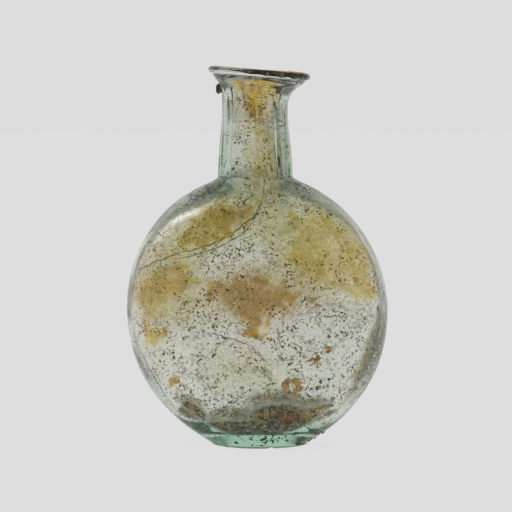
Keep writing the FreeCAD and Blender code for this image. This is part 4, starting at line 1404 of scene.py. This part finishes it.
# %% Set grit on the outside of the foot
# middle across, middle up, spread across, spread up in mm, how many, which way they are cast
FOOT_GRIT_DABS = (
    (3.5, 3.4, 8, 1.2, 80, BACK), (13.5, 1.6, 2.2, 0.5, 10, BACK), (16.8, 2.7, 1.8, 0.6, 12, BACK),
    (20.2, 4.6, 1.6, 0.8, 10, BACK), (-2, 1.4, 8, 0.8, 10, BACK),
)
FOOT_GRIT_LARGEST = 0.42
FOOT_GRIT_POWER = 0.8
FAR_FRONT = -60

foot_origins, foot_ways = scatter(FOOT_GRIT_DABS, FAR_FRONT)
set_grit("foot_grit", foot_origins, foot_ways, outer_wall, FOOT_GRIT_LARGEST, FOOT_GRIT_POWER, 231)

# %% [markdown]
# ## Dirt and painted shade in the folded lip
# When the edge was rolled in, it left a hollow fold inside the lip. An uneven dark tube inside the bead shows
# through the glass as a dark band, thickest at the front and on the right. It is partly soil that got into
# the fold and partly painted shade, for the dark that the bead's bending shows. A rust-brown smear lies on
# top of the lip on the right.

# %% Fill the fold
FOLD_STEPS = 260
FOLD_AROUND = 12
FOLD_THIN = 0.04
FOLD_THICK = 0.54
FOLD_DROP = -0.2
FOLD_TALL_SHARE = 1.15
# how far the thick side leans to the front, and between which values of that direction it sets in
FOLD_TO_FRONT = 0.35
FOLD_START = (-0.45, 0.45)
FOLD_WAVE = 0.16
FOLD_WAVES = (301, 2, 7)
# almost black, with olive and brown in it: soil and painted shade in one colour
FOLD_SHADES = ((0.003, 0.004, 0.002), (0.008, 0.010, 0.005), (0.03, 0.03, 0.014), (0.12, 0.085, 0.03))
SMEAR_TURNS = (-78, -14)
SMEAR_STEPS = 60
SMEAR_WIDTH = 0.9
SMEAR_HEIGHT = 0.28
SMEAR_INSET = 0.1
SMEAR_TIP = 0.12
SMEAR_POWER = 0.6
# rusty brown
SMEAR_SHADES = ((0.22, 0.09, 0.025), (0.46, 0.22, 0.06), (0.64, 0.37, 0.15), (0.75, 0.52, 0.30))


def rim_point(turn, drop, reach):
    """A point in mm by the turn round the rim and its place in the lip's section."""
    across = reach * math.cos(turn)
    x = NECK_X + RIM_SHIFT + across * math.cos(RIM_TILT) - drop * math.sin(RIM_TILT)
    z = RIM_HEIGHT - across * math.sin(RIM_TILT) - drop * math.cos(RIM_TILT)
    return np.array((x, reach * math.sin(turn), z))


def rim_band(turns, middle_drop, middle_reach, widths, heights):
    """Rings of an oval band that follows the rim."""
    section = np.linspace(0, 2 * math.pi, FOLD_AROUND, endpoint=False)
    rings = []
    for turn, width, height in zip(turns, widths, heights):
        rings.append([
            rim_point(turn, middle_drop - height * math.sin(way), middle_reach + width * math.cos(way))
            for way in section
        ])
    return [np.array(ring)[::-1] for ring in rings]


fold_turns = np.linspace(0, 2 * math.pi, FOLD_STEPS, endpoint=False)
front_right = smooth_step(np.cos(fold_turns) - FOLD_TO_FRONT * np.sin(fold_turns), *FOLD_START)
ring_places = np.array([rim_point(turn, 0, LIP_RADIUS) for turn in fold_turns])
uneven = 1 + FOLD_WAVE * waves(ring_places, *FOLD_WAVES)
fold_size = (FOLD_THIN + (FOLD_THICK - FOLD_THIN) * front_right) * uneven
fold_rings = rim_band(fold_turns, FOLD_DROP, LIP_RADIUS, fold_size, fold_size * FOLD_TALL_SHARE)
fold_points, fold_faces = join_rings(fold_rings, poles=False)
last = (FOLD_STEPS - 1) * FOLD_AROUND
for step in range(FOLD_AROUND):
    beside = (step + 1) % FOLD_AROUND
    fold_faces.append((last + step, last + beside, beside, step))
# the fold's band is partly soil and partly painted shade
soil_and_shade_finish = matt_finish("fold_soil_and_shade", FOLD_SHADES, 2.2, 5.2, 0.85, (0.4, 0.1, 0.5), gaps=(1.1, 0.34, 0.44, 0.97))
fold = new_piece("fold_soil_and_shade", fold_points, fold_faces, soil_and_shade_finish)

smear_turns = np.radians(np.linspace(*SMEAR_TURNS, SMEAR_STEPS))
taper = np.sin(np.linspace(SMEAR_TIP, math.pi - SMEAR_TIP, SMEAR_STEPS)) ** SMEAR_POWER
smear_reach = LIP_RADIUS - SMEAR_INSET
smear_rings = rim_band(smear_turns, -LIP_ROUND, smear_reach, SMEAR_WIDTH * taper, SMEAR_HEIGHT * taper)
smear_points, smear_faces = join_rings(smear_rings)
rust = matt_finish("rust_smear", SMEAR_SHADES, 1.0, 6.2, 0.8, (0.4, 0.1, 0.5), gaps=(0.8, 0.36, 0.5, 0.9))
smear = new_piece("rim_smear", smear_points, smear_faces, rust)
print("fold soil is up to", round(float(fold_size.max() * 2), 2), "mm thick")

# %% [markdown]
# ## Cracks
# A long crack runs from the foot of the neck to the left edge, with a second one beside it, and a faint one
# crosses the middle. Short ones lie at the lower left and in the neck. Dirt fills them, so they are seen as
# thin dark threads. Each is a fine tube drawn through given points and laid on the inner wall, tapering
# and wavering on its way. One lies on the outside of the foot.

# %% Draw the cracks
# across and up in mm, then the widest radius in mm and the wall, or None for the outside
CRACKS = {
    "long_crack": (((1.6, 85.2), (1.9, 80), (-0.1, 74.2), (-3.1, 71.3), (-7.1, 68.4), (-11.8, 65.5),
                    (-18.2, 63.1), (-24.1, 61.7), (-27.6, 60.2), (-32.2, 58.4), (-36.6, 56.2)), 0.32, FRONT),
    "second_crack": (((-0.1, 73.1), (-3.1, 69), (-7.1, 66.3), (-11.8, 63.7), (-18.2, 61.4), (-25.8, 59.6)),
                     0.22, FRONT),
    "middle_crack": (((-15.9, 37.4), (-10.1, 36), (-2.5, 33.4), (-0.1, 31), (2.8, 28.4)), 0.13, FRONT),
    "short_crack": (((-19.2, 24.4), (-18.4, 23.2)), 0.16, FRONT),
    "neck_crack": (((2.2, 89), (2.6, 86.5), (3.6, 83.5)), 0.14, FRONT),
    "foot_crack": (((-7.0, 5.5), (-5.0, 3.6), (-3.6, 2.4)), 0.10, None),
}
CRACK_SIDES = 6
CRACK_STEPS = 14
CRACK_STRAY = 0.12
CRACK_STRAY_WAVES = (1, 4)
CRACK_TIP = 0.15
CRACK_POWER = 0.5
# how thick a crack is along its way, as shares of its widest radius
MEAN_CRACK_SHARE = 0.75
CRACK_WAVE_SHARE = 0.35
CRACK_WAVES = (1.5, 6)
CRACK_SHARES = (0.25, 1.4)


def thread(path, radii):
    """Rings of a thin tube along a path."""
    ways = np.gradient(path, axis=0)
    ways /= np.linalg.norm(ways, axis=1)[:, None]
    section = np.linspace(0, 2 * math.pi, CRACK_SIDES, endpoint=False)
    rings = []
    for place, way, radius in zip(path, ways, radii):
        side = np.cross(way, (0, 1, 0))
        side /= np.linalg.norm(side)
        up = np.cross(side, way)
        rings.append(place + radius * (np.outer(np.cos(section), side) + np.outer(np.sin(section), up)))
    return rings


def draw_crack(name, drawn_points, radius, side, seed):
    """A crack on the inner wall. Without a side it lies on the outside, at the front."""
    line = curve_through(drawn_points, CRACK_STEPS)
    start = FAR_FRONT if side is None else 0
    origins = np.stack((line[:, 0], np.full(len(line), start), line[:, 1]), 1)
    stray = [waves(origins, seed + turn, *CRACK_STRAY_WAVES) for turn in range(2)]
    origins[:, (0, 2)] += CRACK_STRAY * np.stack(stray, 1)
    wall = outer_wall if side is None else inner_wall
    hits, facing = cast(origins, np.tile((0, side or BACK, 0), (len(origins), 1)), wall)
    kept = ~np.isnan(hits[:, 0])
    hits = hits[kept]
    ends = np.sin(np.linspace(CRACK_TIP, math.pi - CRACK_TIP, len(hits))) ** CRACK_POWER
    uneven = MEAN_CRACK_SHARE + CRACK_WAVE_SHARE * waves(hits, seed + 2, *CRACK_WAVES)
    radii = radius * ends * np.clip(uneven, *CRACK_SHARES)
    crack_points, crack_faces = join_rings(thread(hits + facing[kept] * (radius + WALL_GAP), radii))
    crack = new_piece(name, crack_points, crack_faces, mineral)


for number, (name, (drawn_points, radius, side)) in enumerate(CRACKS.items()):
    draw_crack(name, drawn_points, radius, side, 401 + 10 * number)
print("cracks:", ", ".join(CRACKS))

# %% [markdown]
# ## The lump on the neck
# One lump sits on the outside, just under the flare on the left. It is a dark crust with an orange heart.

# %% Make the lump
NODULE_WAVE = 0.16
NODULE_WAVES = (501, 1.2, 3.5)
NODULE_STRETCH = 2
NODULE_SPLITS = 5
# dark outside, orange where it has broken open
NODULE_SHADES = ((0.008, 0.005, 0.004), (0.02, 0.012, 0.008), (0.07, 0.03, 0.012), (0.42, 0.17, 0.05))

low, high = (np.array(corner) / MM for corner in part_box("neck_nodule"))
corners, sides = lump_shape(NODULE_SPLITS)
reach = 1 + NODULE_WAVE * waves(corners * NODULE_STRETCH, *NODULE_WAVES)
lump_points = (low + high) / 2 + corners * reach[:, None] * (high - low) / 2
broken_crust = matt_finish("neck_lump", NODULE_SHADES, 1.3, 7.0, 0.65, (0.4, 0.15, 0.8))
nodule = new_piece("neck_nodule", lump_points, sides, broken_crust)
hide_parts("neck_nodule")
print("lump", [round(float(length), 1) for length in high - low], "mm")
